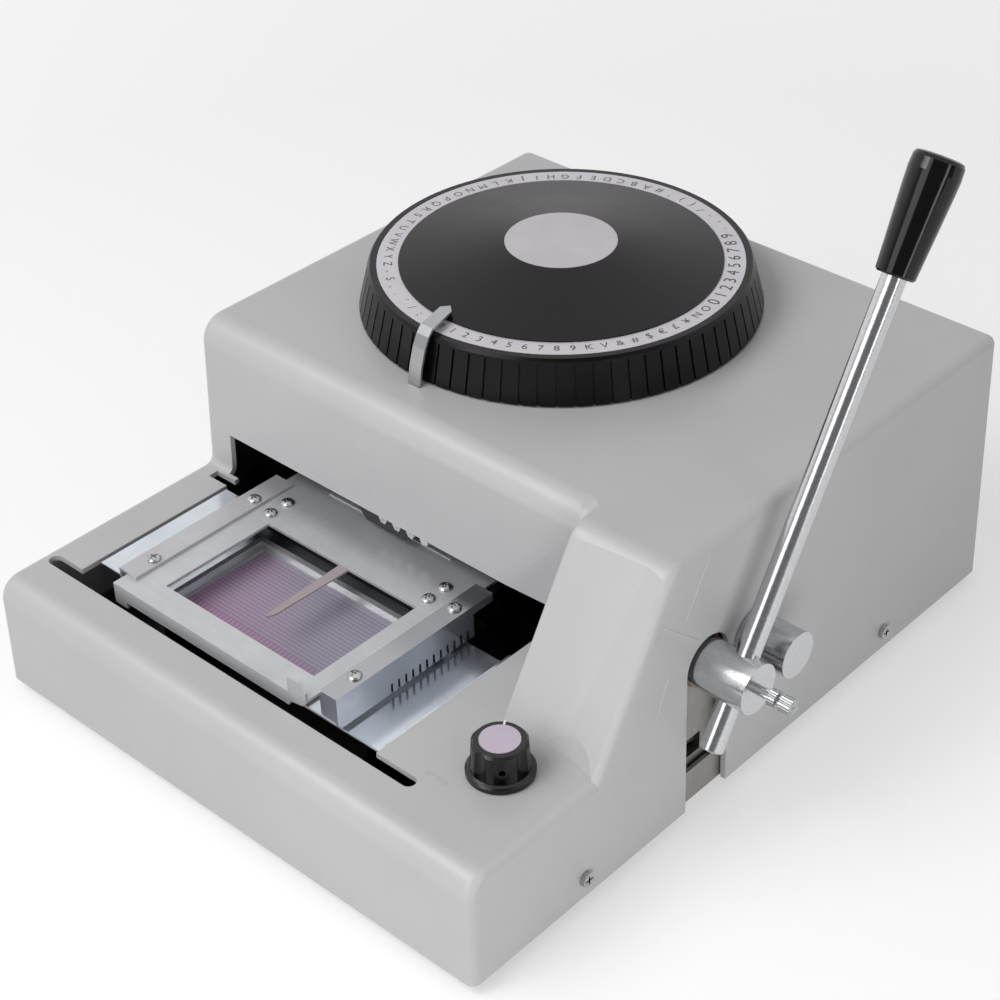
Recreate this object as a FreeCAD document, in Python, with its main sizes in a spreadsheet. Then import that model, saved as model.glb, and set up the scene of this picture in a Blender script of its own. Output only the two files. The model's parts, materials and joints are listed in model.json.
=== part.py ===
import FreeCAD, Part
import Sketcher
import math
import os
import re
from FreeCAD import Placement, Rotation, Vector

# Manual card embosser. X runs to the right, Y to the rear and Z up, in millimetres.
# Heights in the sheet are counted from the cover's bottom edge, and distances to the
# side from the cover's centre plane. place() moves them into the part's frame, whose
# origin is the middle of the footprint on the table, lever included.

doc = FreeCAD.newDocument("CardEmbosser")

SIZES = {
    # cover
    "cover_width": 330,
    "cover_depth": 405,
    "deck_top": 62.5,
    "hood_top": 150.6,
    "wall": 3,
    "draft": 0.82,
    "ramp_width": 61,
    "hood_foot": -59.4,
    "hood_lean": 3,
    "ramp_toe": -118,
    "ramp_run": 53,
    "deck_round": 12,
    "hood_round": 14,
    "foot_round": 4,
    "side_round": 5,
    "step_round": 3,
    "ridge_band": 13.4,
    "band_sink": 1.2,
    "scoop_radius": 40,
    "scoop_lean": 17,
    "scoop_sink": 5,
    "facet_sink": 2.2,
    "rib_round": 1.5,
    "foot_stand": 6,
    # openings of the cover
    "opening_front": -167.5,
    "slot_front": -175,
    "notch_front": -70,
    "notch_rear": -64,
    "throat_top": 86,
    "lever_slot_radius": 15.5,
    # base and frame
    "base_thick": 3,
    "base_lift": 1,
    "base_gap": 0.6,
    "base_end_gap": 12,
    "flange_height": 20,
    "flange_thick": 2,
    "foot_radius": 11,
    "screw_height": 11.8,
    "screw_front": -127,
    "screw_rear": 111,
    "screw_radius": 2,
    "screw_head_radius": 4,
    "screw_head_height": 2.6,
    "side_gap": 4,
    "frame_thick": 5,
    "frame_front": -72,
    "frame_upper_front": -54.6,
    "frame_top": 136,
    "running_gap": 0.05,
    "seat_gap": 0.3,
    # dial and type wheels
    "press_y": -20.6,
    "wheel_rear_gap": 9.1,
    "wheel_side_gap": 12.7,
    "skirt_radius": 106.6,
    "skirt_bottom": 151.6,
    "rim_top": 175.3,
    "rib_count": 72,
    "rib_depth": 1.1,
    "rib_width": 1.2,
    "ring_thick": 1,
    "dish_top": 185.6,
    "disc_radius": 29.5,
    "disc_thick": 1.2,
    "shell": 3,
    "spindle_radius": 10,
    "spindle_bottom": 6,
    "spindle_top": 178,
    "slug_width": 4.6,
    "slug_length": 6,
    "die_wheel_bottom": 56,
    "die_wheel_top": 66,
    "die_slug_bottom": 53.5,
    "die_slug_top": 68,
    "punch_wheel_bottom": 76,
    "punch_wheel_top": 86,
    "punch_slug_bottom": 73.5,
    "punch_slug_top": 88.7,
    "web_thick": 5,
    "wheel_hub_radius": 24,
    "bridge_bottom": 128,
    "bridge_thick": 10,
    "bridge_depth": 44,
    "pedestal_radius": 22,
    "pedestal_top": 26,
    # lever
    "shaft_y": -38,
    "shaft_z": 83,
    "shaft_radius": 6.5,
    "hub_radius": 13,
    "rod_radius": 6,
    "rod_lean": 31.7,
    "rod_reach": 222,
    "rod_stub": 36,
    "grip_start": 197.4,
    "grip_length": 56.5,
    "grip_top_radius": 12.6,
    "grip_bottom_radius": 9.6,
    "lock_radius": 2.5,
    "knurl_radius": 4.3,
    "nut_thick": 4,
    "knob_head_thick": 6,
    "nut_reach": 48,
    "post_y": -4,
    "post_z": 80.6,
    "post_radius": 12,
    "post_flange_radius": 14.5,
    "post_flange_thick": 2.5,
    "post_shank_radius": 6,
    # press train
    "bush_radius": 9.5,
    "bush_flange_radius": 14,
    "bush_flange_thick": 2,
    "cam_radius": 9.2,
    "cam_throw": 1.6,
    "cam_width": 8,
    "cam_phase": -40,
    "lower_z": 20,
    "crank_throw": 18,
    "crank_phase": -25,
    "crank_x": 112,
    "crank_thick": 6,
    "crank_boss_radius": 11,
    "crank_pin_radius": 4,
    "eye_radius": 6.6,
    "link_thick": 5,
    "link_width": 10,
    "link_slack": 0.1,
    "rocker_pin_y": -27,
    "rocker_pin_z": 97,
    "rocker_pin_radius": 3,
    "rocker_width": 11,
    "rocker_boss_radius": 5.5,
    "rocker_clear": 0.4,
    "rocker_fall": 2.2,
    "ear_thick": 4,
    "beam_bottom": 111,
    "beam_height": 16,
    "beam_depth": 14,
    "ram_radius": 5,
    "ram_top": 51,
    "block_width": 40,
    "block_depth": 25,
    "block_leg": 10,
    "block_top": 46,
    "block_roof": 34,
    "front_rail_bottom": 88,
    "front_rail_height": 12,
    "front_rail_y": -52.4,
    "front_rail_depth": 4,
    "guard_bottom": 74.5,
    "guard_width": 44,
    "guard_thick": 1.6,
    "guard_screw_pitch": 9.7,
    "guard_screw_z": 82.5,
    # tray and chart
    "tray_front": -157,
    "tray_rear": -72,
    "tray_floor": 50.6,
    "tray_thick": 1.2,
    "tray_lip_top": 58,
    "shelf_right": -118,
    "shelf_top": 62,
    "stand_left": -100,
    "stand_right": 48,
    "stand_front": -150,
    "stand_rear": -76,
    "stand_thick": 2,
    "chart_left": -91,
    "chart_right": 6,
    "chart_front": -148,
    "chart_rear": -87.5,
    "chart_thick": 0.6,
    "bezel_width": 6,
    "bezel_height": 5,
    "bezel_ledge": 3,
    "bezel_step": 2.4,
    # carriage
    "plate_left": -109.2,
    "plate_right": 34.5,
    "plate_front": -169.8,
    "plate_rear": -38,
    "plate_top": 70,
    "plate_thick": 1.5,
    "window_left": -87,
    "window_right": 19.5,
    "window_front": -154.4,
    "window_rear": -85.5,
    "lip_bottom": 61.5,
    "hook_bottom": 58,
    "hook_width": 9,
    "tab_left": 18,
    "tab_height": 9,
    "left_angle_outer": -115,
    "left_angle_inner": -102,
    "comb_outer": 41.5,
    "comb_inner": 30.2,
    "angle_front": -161,
    "angle_rear": -54,
    "angle_leg_rear": -68,
    "angle_thick": 1.5,
    "left_leg_bottom": 63,
    "comb_bottom": 53,
    "comb_slots": 12,
    "comb_pitch": 4.8,
    "comb_first": -125.4,
    "comb_slot_width": 1.6,
    "comb_slot_height": 5.8,
    "flap_bottom": 56.5,
    "line_slot": 10,
    "pointer_tip": -137.3,
    "pointer_root_width": 6.5,
    "pointer_tip_width": 4,
    "pointer_thick": 1,
    "clamp_left": -82,
    "clamp_right": 6,
    "clamp_front": -47,
    "clamp_thick": 0.9,
    "slide_front": -82,
    "slide_rear": -33.5,
    "slide_bar": 13,
    "slide_front_bar": 6,
    "slide_arm": 12,
    "slide_bottom": 41,
    "slide_arm_bottom": 63,
    "rail_y": -39,
    "rail_low": 31,
    "rail_top": 51,
    "rail_thick": 6,
    "rail_seat": 3,
    "rack_left": -104,
    "rack_teeth": 36,
    "rack_pitch": 3.63,
    "rack_height": 6,
    "rack_thick": 4,
    "catch_length": 12,
    "catch_width": 5,
    "catch_travel": 2.5,
    # spacing knob
    "knob_y": -139.3,
    "knob_skirt_radius": 16.4,
    "knob_body_radius": 14.3,
    "knob_top_radius": 13.4,
    "knob_height": 19,
    "knob_skirt_height": 3,
    "knob_cap_radius": 9.6,
    "knob_lobes": 8,
    "knob_shaft_radius": 3,
    "knob_shaft_bottom": 38,
    "knob_bush_radius": 4.5,
    "selector_radius": 9,
    # index pointer
    "index_x": -31.9,
    "index_width": 8,
    "index_thick": 1.2,
    "index_top": 178.6,
}

# (y, z) of both ends of each low rib on the cover's right side
RIBS = (
    ((-54.7, 117.3), (-37.8, 145)),
    ((-46, 101), (-71.6, 124)),
    ((-75.8, 72.5), (-66.2, 93.4)),
)

# Lengths that follow from others, written with the names above.
DERIVED = {
    "machine_x": "-(nut_reach - screw_head_height + 0.1) / 2",
    "half_width": "cover_width / 2",
    "half_depth": "cover_depth / 2",
    "ramp_left": "half_width - ramp_width",
    "opening_left": "27 - half_width",
    "opening_right": "ramp_left - 30.2",
    "slot_left": "7 - half_width",
    "slot_right": "ramp_left - 2",
    "notch_left": "13 - half_width",
    "throat_left": "20.3 - half_width",
    "throat_right": "ramp_left - 23.3",
    "hood_rise": "hood_top - deck_top",
    "base_top": "base_lift + base_thick",
    "base_half": "half_width - wall - base_gap",
    "foot_x": "half_width - 40",
    "foot_y": "half_depth - 37.5",
    "frame_outer": "half_width - wall - side_gap",
    "frame_inner": "frame_outer - frame_thick",
    "frame_rear": "half_depth - 27.5",
    "type_radius": "(half_depth - wall - wheel_rear_gap - press_y + 5) / 2",
    "slug_circle": "type_radius - 5",
    "dial_x": "type_radius + wheel_side_gap - frame_inner",
    "dial_y": "press_y - 5 + type_radius",
    "rim_radius": "skirt_radius - 6.7",
    "ring_outer": "rim_radius - 3.6",
    "ring_inner": "ring_outer - 11.3",
    "index_y": "dial_y - skirt_radius - 5.3",
    "index_tip_y": "dial_y - ring_inner + 6.1",
    "rod_x": "half_width + 16.5",
    "hub_start": "frame_outer + 2.6",
    "hub_end": "half_width + 28",
    "nut_start": "half_width + 35.5",
    "post_end": "half_width + 25.5",
    "tray_right": "opening_right - 3.8",
    "shelf_left": "opening_left + 2",
    "knob_x": "half_width - 39.7",
    "plate_bottom": "plate_top - plate_thick",
    "cam_rise": "cam_throw * sin(cam_phase)",
    "ram_bottom": "lower_z + cam_rise + cam_radius + 0.1",
    "slide_top": "plate_bottom - seat_gap",
    "line_y": "comb_first + line_slot * comb_pitch",
    "lip_inner": "plate_front + plate_thick",
    "bush_bore": "shaft_radius + running_gap",
    "shaft_end": "hub_start + 12",
    "knob_base": "deck_top + 0.5",
}

sheet = doc.addObject("Spreadsheet::Sheet", "Sizes")
for row, (alias, value) in enumerate(SIZES.items(), 1):
    sheet.set(f"A{row}", alias)
    sheet.set(f"B{row}", str(value))
    sheet.setAlias(f"B{row}", alias)
doc.recompute()

parts = []


def cells(text):
    """Expression with each name replaced by its cell or its derived formula."""

    def swap(match):
        word = match.group()
        if word in DERIVED:
            return "(" + cells(DERIVED[word]) + ")"
        return "Sizes." + word if word in SIZES else word

    return re.sub(r"[a-z_]+[a-z0-9_]*", swap, str(text))


def number(text):
    return float(sheet.evalExpression(cells(text)))


def place(obj, x="0", y="0", z="0"):
    obj.setExpression("Placement.Base.x", cells(f"machine_x + ({x})"))
    obj.setExpression("Placement.Base.y", cells(y))
    obj.setExpression("Placement.Base.z", cells(f"foot_stand + ({z})"))
    return obj


def part(obj, label):
    """A finished sub-part, under the name of its file."""
    obj.Label = label
    parts.append(obj)
    return obj


# ---- primitives and booleans ----

UPRIGHT = Rotation()
ALONG_X = Rotation(Vector(0, 1, 0), 90)
ALONG_Y = Rotation(Vector(1, 0, 0), -90)


def box(x0, x1, y0, y1, z0, z1):
    block = doc.addObject("Part::Box", "Block")
    block.setExpression("Length", cells(f"({x1}) - ({x0})"))
    block.setExpression("Width", cells(f"({y1}) - ({y0})"))
    block.setExpression("Height", cells(f"({z1}) - ({z0})"))
    return place(block, x0, y0, z0)


def rod(turn, x, y, z, radius, length, kind="Part::Cylinder"):
    round_bar = doc.addObject(kind, "Bar")
    round_bar.Placement = Placement(Vector(), turn)
    if kind == "Part::Cylinder":
        round_bar.setExpression("Radius", cells(radius))
    round_bar.setExpression("Height", cells(length))
    return place(round_bar, x, y, z)


def prism(turn, x, y, z, radius, length, sides):
    bar = rod(turn, x, y, z, radius, length, "Part::Prism")
    bar.Polygon = sides
    bar.setExpression("Circumradius", cells(radius))
    return bar


def cone(x, y, z, low, high, height):
    taper = doc.addObject("Part::Cone", "Taper")
    taper.setExpression("Radius1", cells(low))
    taper.setExpression("Radius2", cells(high))
    taper.setExpression("Height", cells(height))
    return place(taper, x, y, z)


def fuse(*shapes):
    whole = doc.addObject("Part::MultiFuse", "Whole")
    whole.Shapes = list(shapes)
    whole.Refine = True
    return whole


def cut(base, *tools):
    rest = doc.addObject("Part::Cut", "Rest")
    rest.Base = base
    rest.Tool = tools[0] if len(tools) == 1 else group(*tools)
    return rest


def group(*shapes):
    several = doc.addObject("Part::Compound", "Several")
    several.Links = list(shapes)
    return several


# ---- sketches and features ----


def body(name):
    return doc.addObject("PartDesign::Body", name)


def plane(owner, role):
    return next(f for f in owner.Origin.OriginFeatures if f.Role == role)


def sketch(owner, role, offset="0"):
    drawing = owner.newObject("Sketcher::SketchObject", "Sketch")
    drawing.AttachmentSupport = [(plane(owner, role), "")]
    drawing.MapMode = "FlatFace"
    drawing.setExpression("AttachmentOffset.Base.z", cells(offset))
    return drawing


def pin_point(drawing, geometry, vertex, x, y):
    for kind, text in (("DistanceX", x), ("DistanceY", y)):
        where = Sketcher.Constraint(kind, -1, 1, geometry, vertex, number(text))
        index = drawing.addConstraint(where)
        drawing.setExpression(f"Constraints[{index}]", cells(text))


def polygon(drawing, points):
    corners = [Vector(number(x), number(y), 0) for x, y in points]
    first = drawing.GeometryCount
    count = len(corners)
    for i in range(count):
        drawing.addGeometry(Part.LineSegment(corners[i], corners[(i + 1) % count]))
    for i in range(count):
        following = first + (i + 1) % count
        drawing.addConstraint(Sketcher.Constraint("Coincident", first + i, 2, following, 1))
    for i, (x, y) in enumerate(points):
        pin_point(drawing, first + i, 1, x, y)


def circle(drawing, x, y, radius):
    centre = Vector(number(x), number(y), 0)
    index = drawing.addGeometry(Part.Circle(centre, Vector(0, 0, 1), number(radius)))
    size = drawing.addConstraint(Sketcher.Constraint("Radius", index, number(radius)))
    drawing.setExpression(f"Constraints[{size}]", cells(radius))
    pin_point(drawing, index, 3, x, y)


def pad(owner, drawing, length, reverse=False):
    feature = owner.newObject("PartDesign::Pad", "Pad")
    feature.Profile = drawing
    feature.setExpression("Length", cells(length))
    feature.Reversed = reverse
    return feature


def pocket(owner, drawing, length, reverse=False):
    feature = owner.newObject("PartDesign::Pocket", "Pocket")
    feature.Profile = drawing
    feature.setExpression("Length", cells(length))
    feature.Reversed = reverse
    return feature


def revolve(owner, points, role="XZ_Plane"):
    """Solid of revolution about the body's Z axis from (radius, height) corners."""
    drawing = sketch(owner, role)
    polygon(drawing, points)
    turned = owner.newObject("PartDesign::Revolution", "Turned")
    turned.Profile = drawing
    turned.ReferenceAxis = (drawing, ["V_Axis"])
    turned.Angle = 360
    return turned


def around(owner, feature, count, direction="Z_Axis"):
    pattern = owner.newObject("PartDesign::PolarPattern", "Around")
    pattern.Originals = [feature]
    pattern.Axis = (plane(owner, direction), [""])
    pattern.Angle = 360
    pattern.setExpression("Occurrences", cells(count))
    owner.Tip = pattern
    return pattern


def in_line(owner, feature, direction, pitch, count):
    pattern = owner.newObject("PartDesign::LinearPattern", "Row")
    pattern.Originals = [feature]
    pattern.Direction = (plane(owner, direction), [""])
    pattern.setExpression("Length", cells(f"({pitch}) * (({count}) - 1)"))
    pattern.setExpression("Occurrences", cells(count))
    owner.Tip = pattern
    return pattern


def fillet(owner, radius, pick):
    doc.recompute()
    base = owner.Tip
    edges = [f"Edge{i}" for i, e in enumerate(base.Shape.Edges, 1) if pick(e)]
    rounded = owner.newObject("PartDesign::Fillet", "Fillet")
    rounded.Base = (base, edges)
    rounded.setExpression("Radius", cells(radius))
    return rounded


def profile_x(points, x0, x1):
    """Bar along X with a section drawn in (y, z)."""
    owner = body("Section")
    drawing = sketch(owner, "YZ_Plane", x0)
    polygon(drawing, points)
    pad(owner, drawing, f"({x1}) - ({x0})")
    return place(owner)


def profile_y(points, y0, y1):
    """Bar along Y with a section drawn in (x, z)."""
    owner = body("Section")
    drawing = sketch(owner, "XZ_Plane", f"-({y0})")
    polygon(drawing, points)
    pad(owner, drawing, f"({y1}) - ({y0})", reverse=True)
    return place(owner)


def profile_z(points, z0, z1):
    """Plate with an outline drawn in (x, y)."""
    owner = body("Section")
    drawing = sketch(owner, "XY_Plane", z0)
    polygon(drawing, points)
    pad(owner, drawing, f"({z1}) - ({z0})")
    return place(owner)


# ---- cover ----


def close(a, b, slack=1.5):
    return abs(a - b) < slack


def housing_form(inset):
    """Drafted block with the space above the deck and before the hood and ramp cut away."""
    owner = body("Form")
    side = f"(half_width - {inset})"
    end = f"(half_depth - {inset})"
    foot_print = sketch(owner, "XY_Plane")
    polygon(foot_print, [(f"-{side}", f"-{end}"), (side, f"-{end}"), (side, end), (f"-{side}", end)])
    block = pad(owner, foot_print, f"hood_top - {inset}")
    block.setExpression("TaperAngle", cells("-draft"))
    step = f"(ramp_left + {inset})"
    fronts = (
        ("-half_width - 20", step, "hood_foot", "hood_lean"),
        (step, "half_width + 20", "ramp_toe", "ramp_run"),
    )
    for left, right, foot, run in fronts:
        lean = f"{run} / hood_rise"
        shift = f"{inset} * sqrt(1 + ({lean}) ^ 2)"
        outline = sketch(owner, "YZ_Plane", left)
        polygon(outline, [
            ("-half_depth - 20", f"deck_top - {inset}"),
            (f"{foot} + {shift} - {inset} * {lean}", f"deck_top - {inset}"),
            (f"{foot} + {shift} + 1.2 * {run}", "deck_top + 1.2 * hood_rise"),
            ("-half_depth - 20", "deck_top + 1.2 * hood_rise"),
        ])
        pocket(owner, outline, f"({right}) - ({left})", reverse=True)
    return owner


def round_housing(owner, inset):
    """Rounds across the moulding, and outside also the outlines of its two sides."""
    side = number(f"half_width - {inset}")
    deck = number(f"deck_top - {inset}")
    top = number(f"hood_top - {inset}")
    step = number(f"ramp_left + {inset}")

    def across(z, y, shortest):
        def pick(e):
            c = e.CenterOfMass
            return close(c.z, z) and close(c.y, y, 10) and e.BoundBox.XLength > shortest
        return pick

    def hood_brow(e):
        c = e.CenterOfMass
        return close(c.z, top) and -90 < c.y < -40 and e.BoundBox.XLength > 30

    def outline(e):
        c = e.CenterOfMass
        on_side = abs(c.x) > side - 4 and e.BoundBox.XLength < 4 and c.z > 1
        return on_side or (close(c.z, top) and c.y > 150)

    def on_step(e):
        return close(e.CenterOfMass.x, step, 0.5) and e.BoundBox.XLength < 0.5

    def inner_corner(e):
        b = e.BoundBox
        return on_step(e) and b.ZLength > 50 and b.YMin > number("hood_foot - 5")

    def ramp_edge(e):
        b = e.BoundBox
        return on_step(e) and b.ZLength > 50 and b.YLength > 20

    fillet(owner, f"deck_round - {inset}", across(deck, number("-half_depth"), 30))
    fillet(owner, f"hood_round - {inset}", hood_brow)
    fillet(owner, f"foot_round + {inset}", across(deck, number("hood_foot"), 100))
    if inset != "0":
        return
    fillet(owner, "side_round", outline)
    fillet(owner, "step_round", inner_corner)
    fillet(owner, "step_round", ramp_edge)


def on_ramp(x, z, back="0"):
    """Point of the ramp's slope at a height, set back to the rear."""
    return x, f"ramp_toe + ramp_run * ({z} - deck_top) / hood_rise + {back}", z


def above(points, inset):
    """Large block that rests on the plane through three points, sunk by the inset."""
    a, b, c = (Vector(*(number(value) for value in point)) for point in points)
    normal = (b - a).cross(c - a).normalize()
    if normal.y > 0:
        normal = -normal
    turn = Rotation(Vector(0, 0, 1), normal)
    corner = a + turn.multVec(Vector(-200, -200, -number(inset)))
    slab = doc.addObject("Part::Box", "Slab")
    slab.Length, slab.Width, slab.Height = 400, 400, 40
    slab.Placement = Placement(Vector(), turn)
    return place(slab, corner.x, corner.y, corner.z)


def common(*shapes):
    shared = doc.addObject("Part::MultiCommon", "Shared")
    shared.Shapes = list(shapes)
    return shared


def hollows(inset):
    """Shallow faces sunk into the ramp and the hood's front, and the scoop at the ramp's toe."""
    floor = f"deck_top - {inset} + 0.05"
    ridge = "half_width - 2.2"
    top = "hood_top - 5.6"
    low = "deck_top + 29.5"
    valley = [("ridge_band", top, "band_sink"), ("1.57 * ridge_band", low, "1.57 * band_sink")]
    (v1, z1, d1), (v2, z2, d2) = valley
    face = above([on_ramp(f"{ridge} - {v1}", z1, d1), on_ramp(f"{ridge} - {v2}", z2, d2),
                  on_ramp("ramp_left + 3", z1, "0.1")], inset)
    band = above([on_ramp(f"{ridge} - {v1}", z1, d1), on_ramp(ridge, z1), on_ramp(ridge, z2)], inset)
    over_ramp = box("ramp_left", "half_width + 5", "ramp_toe - 30", "0", floor, "hood_top + 20")
    scoop = doc.addObject("Part::Cylinder", "Scoop")
    scoop.setExpression("Radius", cells(f"scoop_radius + {inset}"))
    scoop.Height = 60
    scoop.Placement = Placement(Vector(), Rotation(Vector(1, 0, 0), -number("scoop_lean")))
    back = 20
    place(scoop, "half_width - 23",
          f"ramp_toe + scoop_sink - scoop_radius / cos(scoop_lean) - {back} * sin(scoop_lean)",
          f"deck_top - {back} * cos(scoop_lean)")
    near_toe = box("ramp_left + 4", "half_width - 3", "ramp_toe - 12", "ramp_toe + 30", floor,
                   "deck_top + 40")
    front = f"hood_foot + hood_lean * ({{z}} - deck_top) / hood_rise".format
    facet = above([
        ("ramp_left - 6", front(z="hood_top - 15"), "hood_top - 15"),
        ("ramp_left - 46.2", front(z="throat_top + 4.4"), "throat_top + 4.4"),
        ("ramp_left", f"{front(z='throat_top')} + facet_sink", "throat_top"),
    ], inset)
    beside = box("ramp_left - 60", f"ramp_left + {inset} + 0.05", "hood_foot - 9", "0", floor, "hood_top - 14")
    return [common(face, band, over_ramp), common(scoop, near_toe), common(facet, beside)]


def side_ribs():
    """Three low ribs moulded on the right side."""
    ribs = []
    for low, high in RIBS:
        ends = [Vector(number("half_width - 1.25") - number("tan(draft)") * z, y, z) for y, z in (low, high)]
        along = ends[1] - ends[0]
        rib = doc.addObject("Part::Cylinder", "Rib")
        rib.setExpression("Radius", cells("rib_round"))
        rib.Height = along.Length
        rib.Placement = Placement(Vector(), Rotation(Vector(0, 0, 1), along))
        ribs.append(place(rib, *ends[0]))
    return ribs


def make_cover():
    forms = []
    for inset in ("0", "wall"):
        form = housing_form(inset)
        round_housing(form, inset)
        forms.append(cut(place(form), *hollows(inset)))
    shell = fuse(cut(*forms), *side_ribs())
    deck_low = "deck_top - wall - 1"
    deck_high = "deck_top + 1"
    strip = "(opening_front - slot_front) / 2"
    strip_y = "(opening_front + slot_front) / 2"
    tools = [
        box("opening_left", "opening_right", "opening_front - 0.1", "hood_foot + 1", deck_low, deck_high),
        box(f"slot_left + {strip}", f"slot_right - {strip}", "slot_front", "opening_front",
            deck_low, deck_high),
        rod(UPRIGHT, f"slot_left + {strip}", strip_y, deck_low, strip, "wall + 2"),
        rod(UPRIGHT, f"slot_right - {strip}", strip_y, deck_low, strip, "wall + 2"),
        box("notch_left", "opening_left + 1", "notch_front", "notch_rear", deck_low, deck_high),
        box("throat_left", "throat_right", "hood_foot - 2", "hood_foot + 3 * wall",
            deck_low, "throat_top"),
        box("throat_left", "throat_right", "hood_foot - foot_round - 1", "hood_foot",
            "deck_top + 0.05", "throat_top"),
        box("half_width - 4 * wall", "half_width + 1", "shaft_y - lever_slot_radius",
            "shaft_y + lever_slot_radius", "-1", "shaft_z"),
        rod(ALONG_X, "half_width - 4 * wall", "shaft_y", "shaft_z", "lever_slot_radius", "5 * wall"),
        rod(ALONG_X, "half_width - 4 * wall", "post_y", "post_z", "post_shank_radius + seat_gap",
            "5 * wall"),
        rod(UPRIGHT, "knob_x", "knob_y", deck_low, "knob_bush_radius", "wall + 2"),
        rod(UPRIGHT, "dial_x", "dial_y", "hood_top - wall - 1", "1.6 * spindle_radius", "wall + 2"),
        box("index_x - index_width / 2 - seat_gap", "index_x + index_width / 2 + seat_gap",
            "index_y - seat_gap", "index_y + index_thick + 2 * seat_gap",
            "hood_top - wall - 1", "hood_top + 1"),
    ]
    for y in ("screw_front", "screw_rear"):
        tools.append(rod(ALONG_X, "-half_width - 1", y, "screw_height", "screw_radius + 0.1",
                         "cover_width + 2"))
    part(cut(shell, *tools), "cover")


# ---- base and frame ----


def make_base():
    section = [
        ("-base_half", "base_lift"),
        ("base_half", "base_lift"),
        ("base_half", "flange_height"),
        ("base_half - flange_thick", "flange_height"),
        ("base_half - flange_thick", "base_top"),
        ("flange_thick - base_half", "base_top"),
        ("flange_thick - base_half", "flange_height"),
        ("-base_half", "flange_height"),
    ]
    end = "half_depth - base_end_gap"
    channel = profile_y(section, f"-({end})", end)
    holes = [
        rod(ALONG_X, "-half_width", y, "screw_height", "screw_radius", "cover_width")
        for y in ("screw_front", "screw_rear")
    ]
    part(cut(channel, *holes), "base_plate")
    feet = [
        cone(f"{sx} * foot_x", f"{sy} * foot_y", "-foot_stand", "foot_radius - 1.5", "foot_radius",
             "foot_stand + base_lift")
        for sx in (-1, 1)
        for sy in (-1, 1)
    ]
    part(group(*feet), "rubber_feet")


def side_screw(side, y):
    """Pan-head screw from outside into the base plate's flange."""
    inner = "base_half - flange_thick - 1"
    outer = "half_width - 0.1"
    length = f"({outer}) - ({inner})"
    head_start = outer if side > 0 else f"-({outer}) - screw_head_height"
    start = inner if side > 0 else f"-({outer})"
    shank = rod(ALONG_X, start, y, "screw_height", "screw_radius", length)
    head = rod(ALONG_X, head_start, y, "screw_height", "screw_head_radius", "screw_head_height")
    recess = "screw_head_height / 2"
    recess_start = f"{head_start} + {recess}" if side > 0 else f"{head_start} - 0.1"
    cross = [
        box(recess_start, f"{recess_start} + {recess} + 0.1", f"{y} - {a}", f"{y} + {a}",
            f"screw_height - {b}", f"screw_height + {b}")
        for a, b in ((2.4, 0.5), (0.5, 2.4))
    ]
    return cut(fuse(shank, head), *cross)


def guide_bar():
    return box("-frame_inner - rail_seat", "frame_inner + rail_seat", "rail_y - rail_thick / 2",
               "rail_y + rail_thick / 2", "rail_low", "rail_top")


def make_frame():
    screws = [side_screw(side, y) for side in (1, -1) for y in ("screw_front", "screw_rear")]
    part(group(*screws), "cover_screws")
    outline = [
        ("frame_front", "base_top"),
        ("frame_rear", "base_top"),
        ("frame_rear", "frame_top - 26"),
        ("frame_rear - 26", "frame_top"),
        ("frame_upper_front + 22", "frame_top"),
        ("frame_upper_front + 4", "frame_top - 20"),
        ("frame_upper_front", "shaft_z"),
        ("frame_upper_front", "deck_top - wall - 1"),
        ("frame_front", "deck_top - wall - 9"),
    ]
    for label, x0 in (("right_side_plate", "frame_inner"), ("left_side_plate", "-frame_outer")):
        x1 = f"{x0} + frame_thick"
        plate = profile_x(outline, x0, x1)
        holes = [
            rod(ALONG_X, f"{x0} - 1", "shaft_y", "shaft_z", "bush_radius", "frame_thick + 2"),
            guide_bar(),
        ]
        if label == "right_side_plate":
            holes += [
                rod(ALONG_X, f"{x0} - 1", "press_y", "lower_z", "bush_radius", "frame_thick + 2"),
                rod(ALONG_X, f"{x0} - 1", "post_y", "post_z", "post_shank_radius", "frame_thick + 2"),
                box(f"{x0} - 1", f"{x1} + 1", "-53", "-35", "25", "36"),
            ]
        part(cut(plate, *holes), label)
    # bridge over the type wheels, which steadies the spindle
    bridge = box("-frame_inner", "frame_inner", "dial_y - bridge_depth / 2",
                 "dial_y + bridge_depth / 2", "bridge_bottom", "bridge_bottom + bridge_thick")
    bore = rod(UPRIGHT, "dial_x", "dial_y", "bridge_bottom - 1", "spindle_radius + running_gap",
               "bridge_thick + 2")
    slots = [
        box("dial_x + 40", "frame_inner - 25", "dial_y - 8", "dial_y + 8", "bridge_bottom - 1",
            "bridge_bottom + bridge_thick + 1"),
        box("25 - frame_inner", "dial_x - 40", "dial_y - 8", "dial_y + 8", "bridge_bottom - 1",
            "bridge_bottom + bridge_thick + 1"),
    ]
    part(cut(bridge, bore, *slots), "spindle_bridge")
    foot = rod(UPRIGHT, "dial_x", "dial_y", "base_top", "pedestal_radius", "pedestal_top - base_top")
    socket = rod(UPRIGHT, "dial_x", "dial_y", "spindle_bottom", "spindle_radius + running_gap",
                 "pedestal_top")
    part(cut(foot, socket), "spindle_pedestal")


# ---- dial and type wheels ----


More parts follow.
